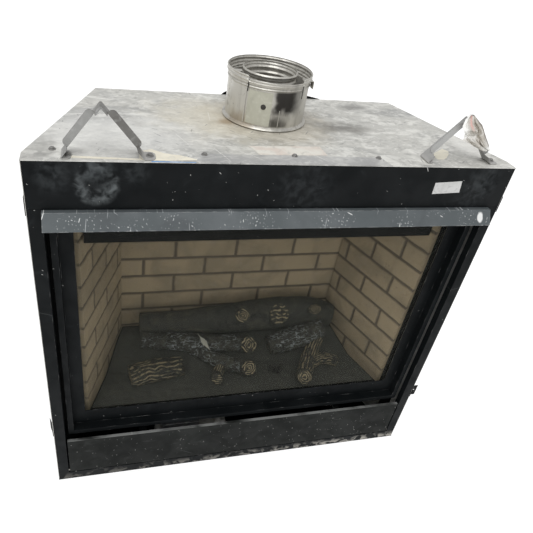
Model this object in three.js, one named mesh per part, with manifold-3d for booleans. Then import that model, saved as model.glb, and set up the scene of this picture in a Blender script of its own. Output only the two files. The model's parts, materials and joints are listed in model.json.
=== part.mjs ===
// A built-in, direct-vent gas fireplace, in millimetres, +Z up.
// X runs to the right along the front, Y runs from the front to the back, and the origin is on the floor
// under the middle of the base. Inside the model group, Y is measured from the face of the black facing.
import * as THREE from 'three';
import { mergeVertices } from 'three/addons/utils/BufferGeometryUtils.js';
import Module from 'manifold-3d';

const wasm = await Module();
wasm.setup();

// Driving dimensions of the casing
const casingWidth = 1067;
const casingHeight = 1002;
const casingDepth = 400;
const casingBackWidth = 796;
const straightSideDepth = 33;
const casingSheet = 1.2;

// Clearances
const seatGap = 0.3;
const turningGap = 0.4;
const sideGap = 1;
const cutOverrun = 5;
const mergeTolerance = 0.0005;

// Black facing
const facingSheet = 1.5;
const facingInset = 2;
const postWidth = 26.5;
const postInnerReturn = 20;
const postOuterReturn = 30;
const headerHeight = 103;
const headerLip = 14;
const baseStripHeight = 30;
const baseStripLip = 14;
const lapStripSpan = 404;
const lapStripDepth = 40;
const lapStripEndCut = 12;
const lapStripSheet = 0.8;

// Hood over the glass and the infill behind it
const hoodReach = 29;
const hoodShoulder = 10;
const hoodDrop = 34;
const hoodSheet = 1.2;
const infillHeight = 36;

// Access panel and its rod
const panelSideGap = 4;
const panelLow = 33;
const panelHeight = 138;
const panelFlange = 8;
const rodRadius = 1.5;
const rodPast = 4;
const rodBack = 3.6;
const rodRise = 4;

// Nailing tabs
const tabReach = 20.5;
const tabHeight = 42;
const tabLeg = 9;
const tabBack = 1;
const tabSheet = 1.3;
const tabHoleRadius = 2.4;
const tabHoleShare = 0.55;
const tabFolds = {
  lower_left: 70,
  lower_right: 0,
  upper_left: 84,
  upper_right: 66,
};
const lowerTabLow = 200;
const upperTabDrop = 118;

// Cover over the rear vent outlet
const rearCoverLeft = 95;
const rearCoverRight = 200;
const rearCoverHeight = 232;
const rearCoverRise = 11;
const rearCoverCut = 14;
const rearCoverSheet = 1.2;

// Strap standoffs: feet, apex and strap
const standoffSheet = 1.6;
const standoffFoot = 22;
const standoffWidth = 36;
const standoffFlangeSetback = 16;
const standoffFlangeHeight = 15;
const standoffFlangeRound = 9;
const standoffFlangeLowShare = 0.17;
const standoffFlangeHighShare = 0.8;
const leftStandoffNear = 6;
const leftStandoffInsets = [70.5, 143.5, 221.5];
const leftStandoffHeight = 98;
const rightStandoffNear = 16;
const rightStandoffInsets = [60.5, 143.5, 224.5];
const rightStandoffHeight = 98;
const screwHeadRadius = 5.5;
const screwHeadHeight = 4;
const screwWasherRadius = 7.5;
const screwWasherHeight = 1.2;
const screwShankRadius = 2.2;
const screwLength = 9;

// Coaxial vent
const ventSetback = 141;
const ventAcross = -9;
const collarRadius = 94.4;
const collarWall = 1.2;
const collarRise = 117;
const collarFlangeRadius = 101;
const collarFlangeHeight = 7;
const collarBandRise = 96;
const collarBandRadius = 97.2;
const collarBeadHeight = 5;
const collarRimRoll = 2.4;
const collarFlangeShare = 0.33;
const collarBeadShare = 0.5;
const rimNotchLeft = 71;
const rimNotchRight = 62;
const rimNotchDepth = 8;
const flueRadius = 62.6;
const flueWall = 1;
const flueRise = 115;
const flueBead = 2.2;
const flueBeadHeight = 7;
const flueBeadRise = 96;
const flueFlange = 14;
const spacerWidth = 16;
const spacerSheet = 1.5;
const spacerDrop = 20;
const spacerBelowRim = 8;

// Firebox
const fireboxSheet = 1.2;
const ringSheet = 1.4;
const ringBack = 60;
const ringWindowMargin = 6;
const ringSill = 6;
const ringLegWidth = 40;
const ringSideGap = 1;
const controlsHeight = 176;
const floorTop = 199;
const fireboxTopDrop = 140;

// Brick-pattern liners
const linerBackMargin = 59;
const linerBackSetback = 56;
const linerFront = 64;
const linerThickness = 15;
const courseHeight = 64.5;
const brickLength = 185;
const mortarWidth = 7;
const mortarDepth = 2.5;
const linerTopGap = 0.6;

// Lintel baffle
const lintelFront = 75;
const lintelDrop = 94;
const lintelEndGap = 2;
const lintelLip = 8;

// Burner platform: flat front, sloping rear shelf
const platformFront = 67;
const platformHeight = 13;
const platformRampLength = 110;
const shelfDepth = 43;
const shelfHeight = 60;
const platformSheet = 2;
const platformSideGap = 1;

// Ceramic logs
const logZoneHeight = 200;
const rearLogRadius = 62;
const charredLogRadius = 27;
const slantingLogRadius = 23;
const stubRadius = 15;
const splitLogRadius = 38;
const rightLogRadius = 38;
const forkedLogRadius = 24;
const forkRadius = 18;

// Pilot assembly
const pilotRight = 116;
const pilotBackShare = 0.585;
const pilotPlateWidth = 62;
const pilotPlateDepth = 26;
const pilotPlateSheet = 2;
const pilotStep = 17;
const pilotHoodRadius = 7;
const pilotHoodRise = 30;
const electrodeRadius = 2.5;
const electrodeRise = 38;
const thermopileRadius = 4.5;
const thermopileRise = 42;

// Glass assembly
const frameSideGap = 8;
const frameLow = 178;
const frameTopGap = 41;
const frameFront = 19;
const frameSheet = 1.5;
const frameStepWidth = 14;
const frameFaceDepth = 24;
const viewSideBorder = 45;
const viewLowBorder = 62;
const viewHighBorder = 28;
const glassSideMargin = 20;
const glassLowMargin = 14;
const glassHighMargin = 8;
const glassThickness = 5;
const glassEdgeGap = 1;
const retainerDepth = 13;
const gasketInset = 3;
const gasketWidth = 14;

// Glass latches
const latchPlaceShare = 0.6;
const latchWidth = 20;
const latchSheet = 2.3;
const latchHookReach = 24;
const latchTab = 21;
const latchPivotBack = 41.5;
const latchPivotRise = 160;
const latchPinRadius = 2.5;
const latchPinHole = 2.8;
const latchEar = 6.5;
const latchEarSheet = 1.5;
const latchEarGap = 1;

// Gas controls
const bracketLeft = -250;
const bracketRight = -30;
const bracketFront = 62;
const bracketBack = 132;
const bracketHeight = 46;
const bracketFoot = 16;
const bracketSheet = 1.5;
const valveLeft = -235;
const valveRight = -125;
const valveHeight = 64;
const valveFront = 62;
const valveBack = 132;
const valveShoulder = 10;
const knobRise = 34;
const gasKnobPlace = -205;
const gasKnobRadius = 19;
const gasKnobReach = 22;
const flameKnobPlace = -152;
const flameKnobRadius = 14;
const flameKnobReach = 18;
const knobShaftRadius = 4;
const knobShaftLength = 9;
const knobCrownShare = 0.8;
const knobWaistShare = 0.85;
const knobGripShare = 0.75;
const knobGripWidth = 8;
const knobSkirt = 4;
const igniterPlace = -60;
const igniterRise = 36;
const barrelRadius = 10;
const barrelBore = 7.6;
const barrelLength = 44;
const barrelFront = 56;
const igniterTabWidth = 34;
const plungerRadius = 7.2;
const plungerCapLength = 12;
const plungerLength = 40;
const pipeBack = 110;
const pipeRise = 82;
const pipeRadius = 8;
const inletReach = 20;
const inletNutRadius = 14;
const inletNutLength = 18;
const inletHoleRadius = 15;
const shutoffLeft = 62;
const shutoffRight = 112;
const shutoffRadius = 15;
const nippleRadius = 7;
const stemRadius = 4;
const stemHeight = 6;
const handleLength = 62;
const handleWidth = 13;
const handleSheet = 3;
const handleBossRadius = 8;
const feedPlace = -180;
const feedRadius = 6.5;
const feedShutterRadius = 12;
const feedShutterLow = 150;
const feedShutterHeight = 28;
const feedHoleRadius = 8;

// Facets round each turned piece
const ventSides = 40;
const smallSides = 16;
const flangeRoundSteps = 4;
const logSides = 10;

// Worked-out lines of the casing and the firebox
const halfWidth = casingWidth / 2;
const backHalfWidth = casingBackWidth / 2;
const taper = (halfWidth - backHalfWidth) / (casingDepth - straightSideDepth);
const taperLength = Math.hypot(1, taper);
const facingHalfWidth = halfWidth - facingInset;
const openingHalfWidth = facingHalfWidth - postWidth;
const ventBack = casingDepth - ventSetback;
const headerLow = casingHeight - headerHeight;
const topUnderside = casingHeight - casingSheet;
const wallTop = topUnderside - seatGap;
const wallLow = casingSheet + seatGap;
const frameHalfWidth = openingHalfWidth - frameSideGap;
const frameHigh = headerLow - frameTopGap;
const viewHalfWidth = frameHalfWidth - viewSideBorder;
const viewLow = frameLow + viewLowBorder;
const viewHigh = frameHigh - viewHighBorder;
const ringFront = ringBack - ringSheet;
const fireboxFront = ringBack + seatGap;
const fireboxTopLow = casingHeight - fireboxTopDrop;
const linerBackHalfWidth = backHalfWidth - linerBackMargin;
const linerBackFace = casingDepth - linerBackSetback;
const linerBackRear = linerBackFace + linerThickness;
const fireboxBackInner = linerBackRear + seatGap;
const fireboxBackOuter = fireboxBackInner + fireboxSheet;
const linerLow = floorTop + seatGap;
const linerHigh = fireboxTopLow - linerTopGap;
const platformTop = linerLow + platformHeight;
const shelfTop = linerLow + shelfHeight;

// Distance from the middle to the outside of the casing's side, at a depth behind its bend
function casingSideAt(depth) {
  return backHalfWidth + taper * (casingDepth - depth);
}

// Distance from the middle to the face of a side liner
function linerFaceAt(depth) {
  return linerBackHalfWidth + taper * (linerBackFace - depth);
}

// Distance from the middle to the inside of the firebox's side sheet
function fireboxSideAt(depth) {
  return linerFaceAt(depth) + (linerThickness + seatGap) * taperLength;
}

// Turns a geometry into a solid, facing out
function toSolid(geometry) {
  const bare = new THREE.BufferGeometry();
  bare.setAttribute('position', geometry.getAttribute('position'));
  if (geometry.index) bare.setIndex(geometry.index);
  const merged = mergeVertices(bare, mergeTolerance);
  const place = merged.getAttribute('position');
  const corner = [new THREE.Vector3(), new THREE.Vector3(), new THREE.Vector3()];
  const faces = [];
  let volume = 0;
  for (let i = 0; i < merged.index.count; i += 3) {
    const face = [0, 1, 2].map((k) => merged.index.getX(i + k));
    if (new Set(face).size < 3) continue;
    face.forEach((vertex, k) => corner[k].fromBufferAttribute(place, vertex));
    volume += corner[0].dot(corner[1].clone().cross(corner[2]));
    faces.push(face);
  }
  const triVerts = new Uint32Array(faces.flatMap((f) => (volume < 0 ? [f[0], f[2], f[1]] : f)));
  return new wasm.Manifold(new wasm.Mesh({ numProp: 3, vertProperties: place.array, triVerts }));
}

function toGeometry(solid) {
  const mesh = solid.getMesh();
  const geometry = new THREE.BufferGeometry();
  geometry.setAttribute('position', new THREE.BufferAttribute(mesh.vertProperties, mesh.numProp));
  geometry.setIndex(new THREE.BufferAttribute(mesh.triVerts, 1));
  geometry.computeVertexNormals();
  return geometry;
}

function join(first, ...others) {
  return others.reduce((sum, solid) => sum.add(solid), first);
}

function cut(first, ...others) {
  return others.reduce((rest, solid) => rest.subtract(solid), first);
}

// A block from its lowest to its highest corner
function block(x0, x1, y0, y1, z0, z1) {
  const geometry = new THREE.BoxGeometry(x1 - x0, y1 - y0, z1 - z0);
  geometry.translate((x0 + x1) / 2, (y0 + y1) / 2, (z0 + z1) / 2);
  return toSolid(geometry);
}

function shapeOf(points, holes = []) {
  const shape = new THREE.Shape(points.map(([a, b]) => new THREE.Vector2(a, b)));
  shape.holes = holes.map((hole) => new THREE.Path(hole.map(([a, b]) => new THREE.Vector2(a, b))));
  return shape;
}

function extruded(points, depth, holes) {
  return new THREE.ExtrudeGeometry(shapeOf(points, holes), { depth, bevelEnabled: false });
}

// An outline in plan, raised from one height to another
function upright(points, z0, z1) {
  const geometry = extruded(points, z1 - z0);
  geometry.translate(0, 0, z0);
  return toSolid(geometry);
}

// An outline of (depth, height) points, carried along X
function alongX(points, x0, x1) {
  const geometry = extruded(points, x1 - x0);
  const turn = new THREE.Matrix4();
  turn.makeBasis(new THREE.Vector3(0, 1, 0), new THREE.Vector3(0, 0, 1), new THREE.Vector3(1, 0, 0));
  geometry.applyMatrix4(turn);
  geometry.translate(x0, 0, 0);
  return toSolid(geometry);
}

// An outline of (across, height) points, carried along Y
function alongY(points, y0, y1, holes) {
  const geometry = extruded(points, y1 - y0, holes);
  geometry.rotateX(Math.PI / 2);
  geometry.translate(0, y1, 0);
  return toSolid(geometry);
}

function rectangle(a0, a1, b0, b1) {
  return [[a0, b0], [a1, b0], [a1, b1], [a0, b1]];
}

// The outline of a folded sheet: the path is one face, and the wall lies to the left of its travel
function foldedSheet(path, thickness) {
  const left = path.slice(1).map(([a, b], i) => {
    const run = new THREE.Vector2(a - path[i][0], b - path[i][1]).normalize();
    return new THREE.Vector2(-run.y, run.x);
  });
  const inner = path.map(([a, b], i) => {
    const before = left[Math.max(i - 1, 0)];
    const after = left[Math.min(i, left.length - 1)];
    const reach = thickness / (1 + before.dot(after));
    return [a + (before.x + after.x) * reach, b + (before.y + after.y) * reach];
  });
  return [...path, ...inner.reverse()];
}

// A turned piece about a vertical axis through a place: profile of (radius, height) points
function turned(profile, sides, x, y, z) {
  const geometry = new THREE.LatheGeometry(profile.map(([r, h]) => new THREE.Vector2(r, h)), sides);
  geometry.rotateX(Math.PI / 2);
  geometry.translate(x, y, z);
  return toSolid(geometry);
}

// The same about an axis along Y, with the profile's heights running to the back
function turnedBack(profile, sides, x, y, z) {
  const geometry = new THREE.LatheGeometry(profile.map(([r, h]) => new THREE.Vector2(r, h)), sides);
  geometry.translate(x, y, z);
  return toSolid(geometry);
}

// The same about an axis along X, with the profile's heights running to the right
function turnedRight(profile, sides, x, y, z) {
  const geometry = new THREE.LatheGeometry(profile.map(([r, h]) => new THREE.Vector2(r, h)), sides);
  geometry.rotateZ(-Math.PI / 2);
  geometry.translate(x, y, z);
  return toSolid(geometry);
}

function rodProfile(radius, h0, h1) {
  return [[0, h0], [radius, h0], [radius, h1], [0, h1]];
}

const model = new THREE.Group();
model.position.y = -casingDepth / 2;

function addPiece(name, solid, color, roughness, metalness) {
  const material = new THREE.MeshStandardMaterial({ color, roughness, metalness });
  const mesh = new THREE.Mesh(toGeometry(solid), material);
  mesh.name = name;
  model.add(mesh);
}

const galvanised = [0x9b9a94, 0.45, 0.85];
const blackPaint = [0x1e2021, 0.55, 0.3];
const blackSteel = [0x17191a, 0.5, 0.4];
const stainless = [0xa9a8a2, 0.3, 0.95];
const brickFinish = [0x8f8068, 0.9, 0];
const logFinish = [0x4a4740, 0.95, 0];
const brassFinish = [0xb08d4a, 0.35, 0.9];

// Casing: plan outline of the whole, sheet sides, back, base and top

const planOutline = [
  [-halfWidth, 0],
  [halfWidth, 0],
  [halfWidth, straightSideDepth],
  [backHalfWidth, casingDepth],
  [-backHalfWidth, casingDepth],
  [-halfWidth, straightSideDepth],
];

const holeShape = (x, y, radius, z0, z1, sides) =>
  turned(rodProfile(radius, z0 - cutOverrun, z1 + cutOverrun), sides, x, y, 0);

// Each strap's feet and apex keep their distances from the casing's side
const [leftOuterFoot, leftApex, leftInnerFoot] = leftStandoffInsets.map((inset) => inset - halfWidth);
const [rightOuterFoot, rightApex, rightInnerFoot] = rightStandoffInsets.map((inset) => halfWidth - inset);
const standoffs = [
  {
    side: 'left',
    feet: [leftOuterFoot, leftInnerFoot],
    apex: leftApex,
    near: leftStandoffNear,
    height: leftStandoffHeight,
  },
  {
    side: 'right',
    feet: [rightInnerFoot, rightOuterFoot],
    apex: rightApex,
    near: rightStandoffNear,
    height: rightStandoffHeight,
  },
];

// Screws sit in the middle of each flat foot. Both feet run to the right, the left one under its leg.
function footScrews(standoff) {
  const y = standoff.near + standoffWidth / 2;
  return [
    { x: standoff.feet[0] + standoffFoot / 2, y },
    { x: standoff.feet[1] + standoffFoot / 2, y },
  ];
}

const screwHoleRadius = screwShankRadius + seatGap;
const screwHoles = standoffs.flatMap(footScrews).map(({ x, y }) =>
  holeShape(x, y, screwHoleRadius, topUnderside, casingHeight + standoffSheet, smallSides));

const topHoleRadius = collarRadius - collarWall;
addPiece('casing_top', cut(
  upright(planOutline, topUnderside, casingHeight),
  holeShape(ventAcross, ventBack, topHoleRadius, topUnderside, casingHeight, ventSides),
  ...screwHoles,
), ...galvanised);

addPiece('base_pan', upright(planOutline, 0, casingSheet), ...galvanised);

addPiece('casing_back', block(
  -backHalfWidth + casingSheet * 2,
  backHalfWidth - casingSheet * 2,
  casingDepth - casingSheet,
  casingDepth,
  wallLow,
  wallTop,
), ...galvanised);

const sideBackEnd = casingDepth - casingSheet - seatGap;
function casingSide(sign) {
  const outer = [
    [halfWidth, facingSheet + seatGap],
    [halfWidth, straightSideDepth],
    [casingSideAt(sideBackEnd), sideBackEnd],
  ];
  return upright(foldedSheet(outer, casingSheet).map(([x, y]) => [sign * x, y]), wallLow, wallTop);
}

const inletHole = turnedRight(
  rodProfile(inletHoleRadius, 0, casingWidth),
  smallSides,
  0,
  pipeBack,
  pipeRise,
);
addPiece('casing_left_side', casingSide(-1), ...galvanised);
addPiece('casing_right_side', cut(casingSide(1), inletHole), ...galvanised);

// Cover over the rear vent outlet, outside the back
const coverHigh = casingHeight + rearCoverRise;
const coverLow = coverHigh - rearCoverHeight;
addPiece('rear_vent_cover', alongY([
  [-rearCoverLeft, coverLow],
  [rearCoverRight, coverLow],
  [rearCoverRight, coverHigh - rearCoverCut],
  [rearCoverRight - rearCoverCut, coverHigh],
  [-rearCoverLeft + rearCoverCut, coverHigh],
  [-rearCoverLeft, coverHigh - rearCoverCut],
], casingDepth + seatGap, casingDepth + seatGap + rearCoverSheet), ...blackSteel);

// Black facing: header, posts, base strip

addPiece('front_header', alongX(foldedSheet([
  [headerLip, headerLow],
  [0, headerLow],
  [0, wallTop],
  [headerLip, wallTop],
].reverse(), facingSheet), -facingHalfWidth, facingHalfWidth), ...blackPaint);

const rodY = rodBack;
const rodZ = panelLow + rodRise;
const rodHole = (x0, x1) => turnedRight(rodProfile(rodRadius + seatGap, x0, x1), smallSides, 0, rodY, rodZ);

function post(sign) {
  const path = [
    [facingHalfWidth, postOuterReturn],
    [facingHalfWidth, 0],
    [openingHalfWidth, 0],
    [openingHalfWidth, postInnerReturn],
  ];
  const outline = foldedSheet(path.reverse(), facingSheet).map(([x, y]) => [sign * x, y]);
  const innerEdge = [openingHalfWidth - cutOverrun, openingHalfWidth + facingSheet + cutOverrun];
  const rodSeats = [rodHole(innerEdge[0], innerEdge[1]), rodHole(-innerEdge[1], -innerEdge[0])];
  return cut(upright(outline, wallLow, headerLow - seatGap), ...rodSeats);
}

addPiece('front_post_left', post(-1), ...blackPaint);
addPiece('front_post_right', post(1), ...blackPaint);

const stripHalfWidth = openingHalfWidth - seatGap;
addPiece('base_strip', alongX(foldedSheet([
  [baseStripLip, baseStripHeight],
  [0, baseStripHeight],
  [0, wallLow],
  [baseStripLip, wallLow],
], facingSheet), -stripHalfWidth, stripHalfWidth), ...blackPaint);

// Front lap strip on the top, its ends cut aslant
const lapHalf = lapStripSpan / 2;
const lapLow = casingHeight + seatGap;
addPiece('top_lap_strip', upright([
  [-lapHalf - lapStripEndCut, 0],
  [lapHalf + lapStripEndCut, 0],
  [lapHalf, lapStripDepth],
  [-lapHalf, lapStripDepth],
], lapLow, lapLow + lapStripSheet), ...galvanised);

// Hood: a flange under the header, then a slanted face
const hoodInner = headerLow - seatGap - hoodSheet;
addPiece('hood', alongX(foldedSheet([
  [headerLip, hoodInner],
  [-hoodShoulder, hoodInner],
  [-hoodReach, headerLow - hoodDrop],
].reverse(), -hoodSheet), -stripHalfWidth, stripHalfWidth), ...[0x63676a, 0.5, 0.6]);

// Infill between the hood and the glass frame
const infillTop = hoodInner - seatGap;
addPiece('upper_infill', alongX(foldedSheet([
  [frameFront, infillTop - infillHeight],
  [frameFront, infillTop],
  [ringFront - seatGap, infillTop],
], -frameSheet), -stripHalfWidth, stripHalfWidth), ...blackSteel);

// Nailing tabs: a short leg on the casing's side and an ear with a hole. An ear is bent straight out for
// nailing, or still folded back towards the side by its angle in degrees.
function nailingTab(sign, low, fold) {
  const inner = halfWidth + seatGap;
  const hinge = tabBack + tabLeg;
  const angle = THREE.MathUtils.degToRad(fold);
  const outline = foldedSheet([
    [inner + tabReach * Math.cos(angle), hinge + tabReach * Math.sin(angle)],
    [inner, hinge],
    [inner, tabBack],
  ], tabSheet).map(([x, y]) => [sign * x, y]);
  const hole = toGeometry(turnedBack(rodProfile(tabHoleRadius, -tabReach, tabReach), smallSides, 0, 0, 0));
  hole.rotateZ(sign * angle);
  hole.translate(
    sign * (inner + tabReach * Math.cos(angle) * tabHoleShare),
    hinge + tabReach * Math.sin(angle) * tabHoleShare,
    low + tabHeight * tabHoleShare,
  );
  hole.deleteAttribute('normal');
  return cut(upright(outline, low, low + tabHeight), toSolid(hole));
}

for (const [side, sign] of [['left', -1], ['right', 1]]) {
  const upperTabLow = casingHeight - upperTabDrop;
  addPiece(`nailing_tab_lower_${side}`, nailingTab(sign, lowerTabLow, tabFolds[`lower_${side}`]), ...blackSteel);
  addPiece(`nailing_tab_upper_${side}`, nailingTab(sign, upperTabLow, tabFolds[`upper_${side}`]), ...blackSteel);
}

// The outline of a stiffening flange that stands off a leg's outer face, seen from the front
function flangeOutline([footX, footZ], [apexX, apexZ]) {
  const leg = new THREE.Vector2(apexX - footX, apexZ - footZ);
  const run = leg.clone().normalize();
  const out = new THREE.Vector2(-Math.abs(run.y) * Math.sign(run.x), Math.abs(run.x));
  const start = leg.length() * standoffFlangeLowShare;
  const end = leg.length() * standoffFlangeHighShare;
  const roundStart = start + standoffFlangeRound;
  const roundEnd = end - standoffFlangeRound;
  const roundBase = standoffFlangeHeight - standoffFlangeRound;
  const places = [[start, 0], [end, 0]];
  for (let i = 0; i <= flangeRoundSteps; i += 1) {
    const turn = (i / flangeRoundSteps) * Math.PI / 2;
    places.push([
      roundEnd + standoffFlangeRound * Math.cos(turn),
      roundBase + standoffFlangeRound * Math.sin(turn),
    ]);
  }
  for (let i = 0; i <= flangeRoundSteps; i += 1) {
    const turn = (i / flangeRoundSteps) * Math.PI / 2;
    places.push([
      roundStart - standoffFlangeRound * Math.sin(turn),
      roundBase + standoffFlangeRound * Math.cos(turn),
    ]);
  }
  return places.map(([along, away]) => [
    footX + run.x * along + out.x * away,
    footZ + run.y * along + out.y * away,
  ]);
}

// Strap standoffs: one bent strap each. Along the middle of each leg the strap's front part is folded up
// into a flange; the strap keeps its full width at the apex and near the feet.
function strap(standoff) {
  const low = casingHeight + seatGap;
  const high = low + standoff.height;
  const profile = foldedSheet([
    [standoff.feet[0] + standoffFoot, low + standoffSheet],
    [standoff.feet[0], low + standoffSheet],
    [standoff.apex, high],
    [standoff.feet[1], low],
    [standoff.feet[1] + standoffFoot, low],
  ], standoffSheet);
  const fold = standoff.near + standoffFlangeSetback;
  const flangeLow = low + standoff.height * standoffFlangeLowShare;
  const flangeHigh = low + standoff.height * standoffFlangeHighShare;
  const sheet = alongY(profile, standoff.near, standoff.near + standoffWidth);
  const folded = block(...standoff.feet, standoff.near - cutOverrun, fold, flangeLow, flangeHigh);
  const flanges = standoff.feet.map((foot) =>
    alongY(flangeOutline([foot, low], [standoff.apex, high]), fold, fold + standoffSheet));
  return cut(join(cut(sheet, folded), ...flanges), ...screwHoles);
}

const footTop = casingHeight + seatGap + standoffSheet;
const screwProfile = [
  [0, -screwLength],
  [screwShankRadius, -screwLength],
  [screwShankRadius, seatGap],
  [screwWasherRadius, seatGap],
  [screwWasherRadius, seatGap + screwWasherHeight],
  [screwHeadRadius, seatGap + screwWasherHeight],
  [screwHeadRadius, seatGap + screwWasherHeight + screwHeadHeight],
  [0, seatGap + screwWasherHeight + screwHeadHeight],
];
for (const standoff of standoffs) {
  addPiece(`standoff_${standoff.side}`, strap(standoff), ...[0x77777a, 0.5, 0.7]);
  footScrews(standoff).forEach(({ x, y }, i) => {
    const screw = turned(screwProfile, smallSides, x, y, footTop);
    addPiece(`standoff_screw_${standoff.side}_${i + 1}`, screw, ...stainless);
  });
}

// Coaxial vent

const collarInner = collarRadius - collarWall;
const collarLow = casingHeight + seatGap;
const flangeStep = collarFlangeHeight * collarFlangeShare;
const beadMiddle = collarBandRise - collarBeadHeight * collarBeadShare;
const collar = turned([
  [collarInner, 0],
  [collarFlangeRadius, 0],
  [collarFlangeRadius, flangeStep],
  [collarFlangeRadius - collarWall, collarFlangeHeight - flangeStep],
  [collarRadius, collarFlangeHeight],
  [collarRadius, collarBandRise - collarBeadHeight],
  [collarBandRadius + collarWall, beadMiddle],
  [collarBandRadius, collarBandRise],
  [collarBandRadius, collarRise - collarRimRoll * 2],
  [collarBandRadius + collarRimRoll, collarRise - collarRimRoll],
  [collarBandRadius, collarRise],
  [collarBandRadius - collarWall, collarRise],
  [collarBandRadius - collarWall, collarBandRise],
  [collarInner, collarBandRise - collarBeadHeight],
  [collarInner, 0],
], ventSides, ventAcross, ventBack, collarLow);
const rimNotch = block(
  ventAcross - rimNotchLeft,
  ventAcross + rimNotchRight,
  ventBack - collarFlangeRadius,
  ventBack - flueRadius,
  casingHeight + collarRise - rimNotchDepth,
  casingHeight + collarRise + cutOverrun,
);
addPiece('vent_outer_collar', cut(collar, rimNotch), ...stainless);

const flueInner = flueRadius - flueWall;
const flueLow = fireboxTopLow + fireboxSheet + seatGap;
const flueTop = casingHeight + flueRise;
const beadLow = casingHeight + flueBeadRise;
const topBeadLow = flueTop - flueBeadHeight;
addPiece('vent_inner_flue', turned([
  [flueInner, flueLow],
  [flueRadius + flueFlange, flueLow],
  [flueRadius + flueFlange, flueLow + flueWall],
  [flueRadius, flueLow + flueWall],
  [flueRadius, beadLow],
  [flueRadius - flueBead, beadLow + flueBeadHeight / 2],
  [flueRadius, beadLow + flueBeadHeight],
  [flueRadius, topBeadLow],
  [flueRadius + flueBead, flueTop - flueBeadHeight / 2],
  [flueRadius, flueTop],
  [flueInner, flueTop],
  [flueInner + flueBead, flueTop - flueBeadHeight / 2],
  [flueInner, topBeadLow],
  [flueInner, beadLow + flueBeadHeight],
  [flueInner - flueBead, beadLow + flueBeadHeight / 2],
  [flueInner, beadLow],
  [flueInner, flueLow],
], ventSides, ventAcross, ventBack, 0), ...stainless);

// Spacer: a bridge between collar and flue at the left, with both ends turned down
const spacerTop = casingHeight + collarRise - spacerBelowRim - collarRimRoll;
const spacerOuter = collarInner - sideGap;
const spacerInner = flueRadius + flueBead + sideGap;
addPiece('vent_spacer', alongY(foldedSheet([
  [ventAcross - spacerOuter, spacerTop - spacerDrop],
  [ventAcross - spacerOuter, spacerTop],
  [ventAcross - spacerInner, spacerTop],
  [ventAcross - spacerInner, spacerTop - spacerDrop],
], -spacerSheet), ventBack - spacerWidth / 2, ventBack + spacerWidth / 2),
...stainless);

// Firebox

const ringHalfWidth = casingSideAt(ringFront) - (casingSheet + ringSideGap) * taperLength;
const ringLegInner = ringHalfWidth - ringLegWidth;
const ringOutline = [
  [-ringHalfWidth, wallLow],
  [-ringLegInner, wallLow],
  [-ringLegInner, controlsHeight],
  [ringLegInner, controlsHeight],
  [ringLegInner, wallLow],
  [ringHalfWidth, wallLow],
  [ringHalfWidth, wallTop],
  [-ringHalfWidth, wallTop],
];
const windowHalf = viewHalfWidth + ringWindowMargin;
const windowOutline = rectangle(-windowHalf, windowHalf, floorTop + ringSill, viewHigh + ringWindowMargin);
const latchPlace = frameHalfWidth * latchPlaceShare;

// Two ears with a hole in each carry a latch pin below the ring
function latchEars(place) {
  const inner = latchWidth / 2 + latchEarGap;
  const outer = inner + latchEarSheet;
  const low = latchPivotRise - latchEar;
  const ear = rectangle(latchPivotBack - latchEar, ringBack, low, controlsHeight);
  const plate = block(place - outer, place + outer, ringFront, ringBack, low, controlsHeight + ringSheet);
  const pinHole = turnedRight(
    rodProfile(latchPinHole, -outer - cutOverrun, outer + cutOverrun),
    smallSides,
    place,
    latchPivotBack,
    latchPivotRise,
  );
  const ears = [alongX(ear, place - outer, place - inner), alongX(ear, place + inner, place + outer)];
  return cut(join(plate, ...ears), pinHole);
}

addPiece('firebox_front_ring', join(
  alongY(ringOutline, ringFront, ringBack, [windowOutline]),
  latchEars(-latchPlace),
  latchEars(latchPlace),
), ...blackSteel);

const floorSheetLow = floorTop - fireboxSheet;
function fireboxOutline(front, back, grow) {
  return [
    [-fireboxSideAt(front) - grow, front],
    [fireboxSideAt(front) + grow, front],
    [fireboxSideAt(back) + grow, back],
    [-fireboxSideAt(back) - grow, back],
  ];
}

const sheetAcross = fireboxSheet * taperLength;
const feedHole = holeShape(feedPlace, pipeBack, feedHoleRadius, floorSheetLow, floorTop, smallSides);
addPiece('firebox_floor', cut(
  upright(fireboxOutline(fireboxFront, fireboxBackOuter, sheetAcross), floorSheetLow, floorTop),
  feedHole,
), ...blackSteel);
addPiece('firebox_top', cut(
  upright(
    fireboxOutline(fireboxFront, fireboxBackOuter, sheetAcross),
    fireboxTopLow,
    fireboxTopLow + fireboxSheet,
  ),
  holeShape(ventAcross, ventBack, flueInner, fireboxTopLow, fireboxTopLow + fireboxSheet, ventSides),
), ...blackSteel);

const fireboxWallLow = floorTop + seatGap;
const fireboxWallTop = fireboxTopLow - seatGap;
function fireboxSide(sign) {
  return upright([
    [sign * fireboxSideAt(fireboxFront), fireboxFront],
    [sign * (fireboxSideAt(fireboxFront) + sheetAcross), fireboxFront],
    [sign * (fireboxSideAt(fireboxBackOuter) + sheetAcross), fireboxBackOuter],
    [sign * fireboxSideAt(fireboxBackOuter), fireboxBackOuter],
  ], fireboxWallLow, fireboxWallTop);
}

addPiece('firebox_left_side', fireboxSide(-1), ...blackSteel);
addPiece('firebox_right_side', fireboxSide(1), ...blackSteel);
const fireboxBackHalf = fireboxSideAt(fireboxBackOuter) - seatGap * taperLength;
addPiece('firebox_back', block(
  -fireboxBackHalf,
  fireboxBackHalf,
  fireboxBackInner,
  fireboxBackOuter,
  fireboxWallLow,
  fireboxWallTop,
), ...blackSteel);

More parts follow.
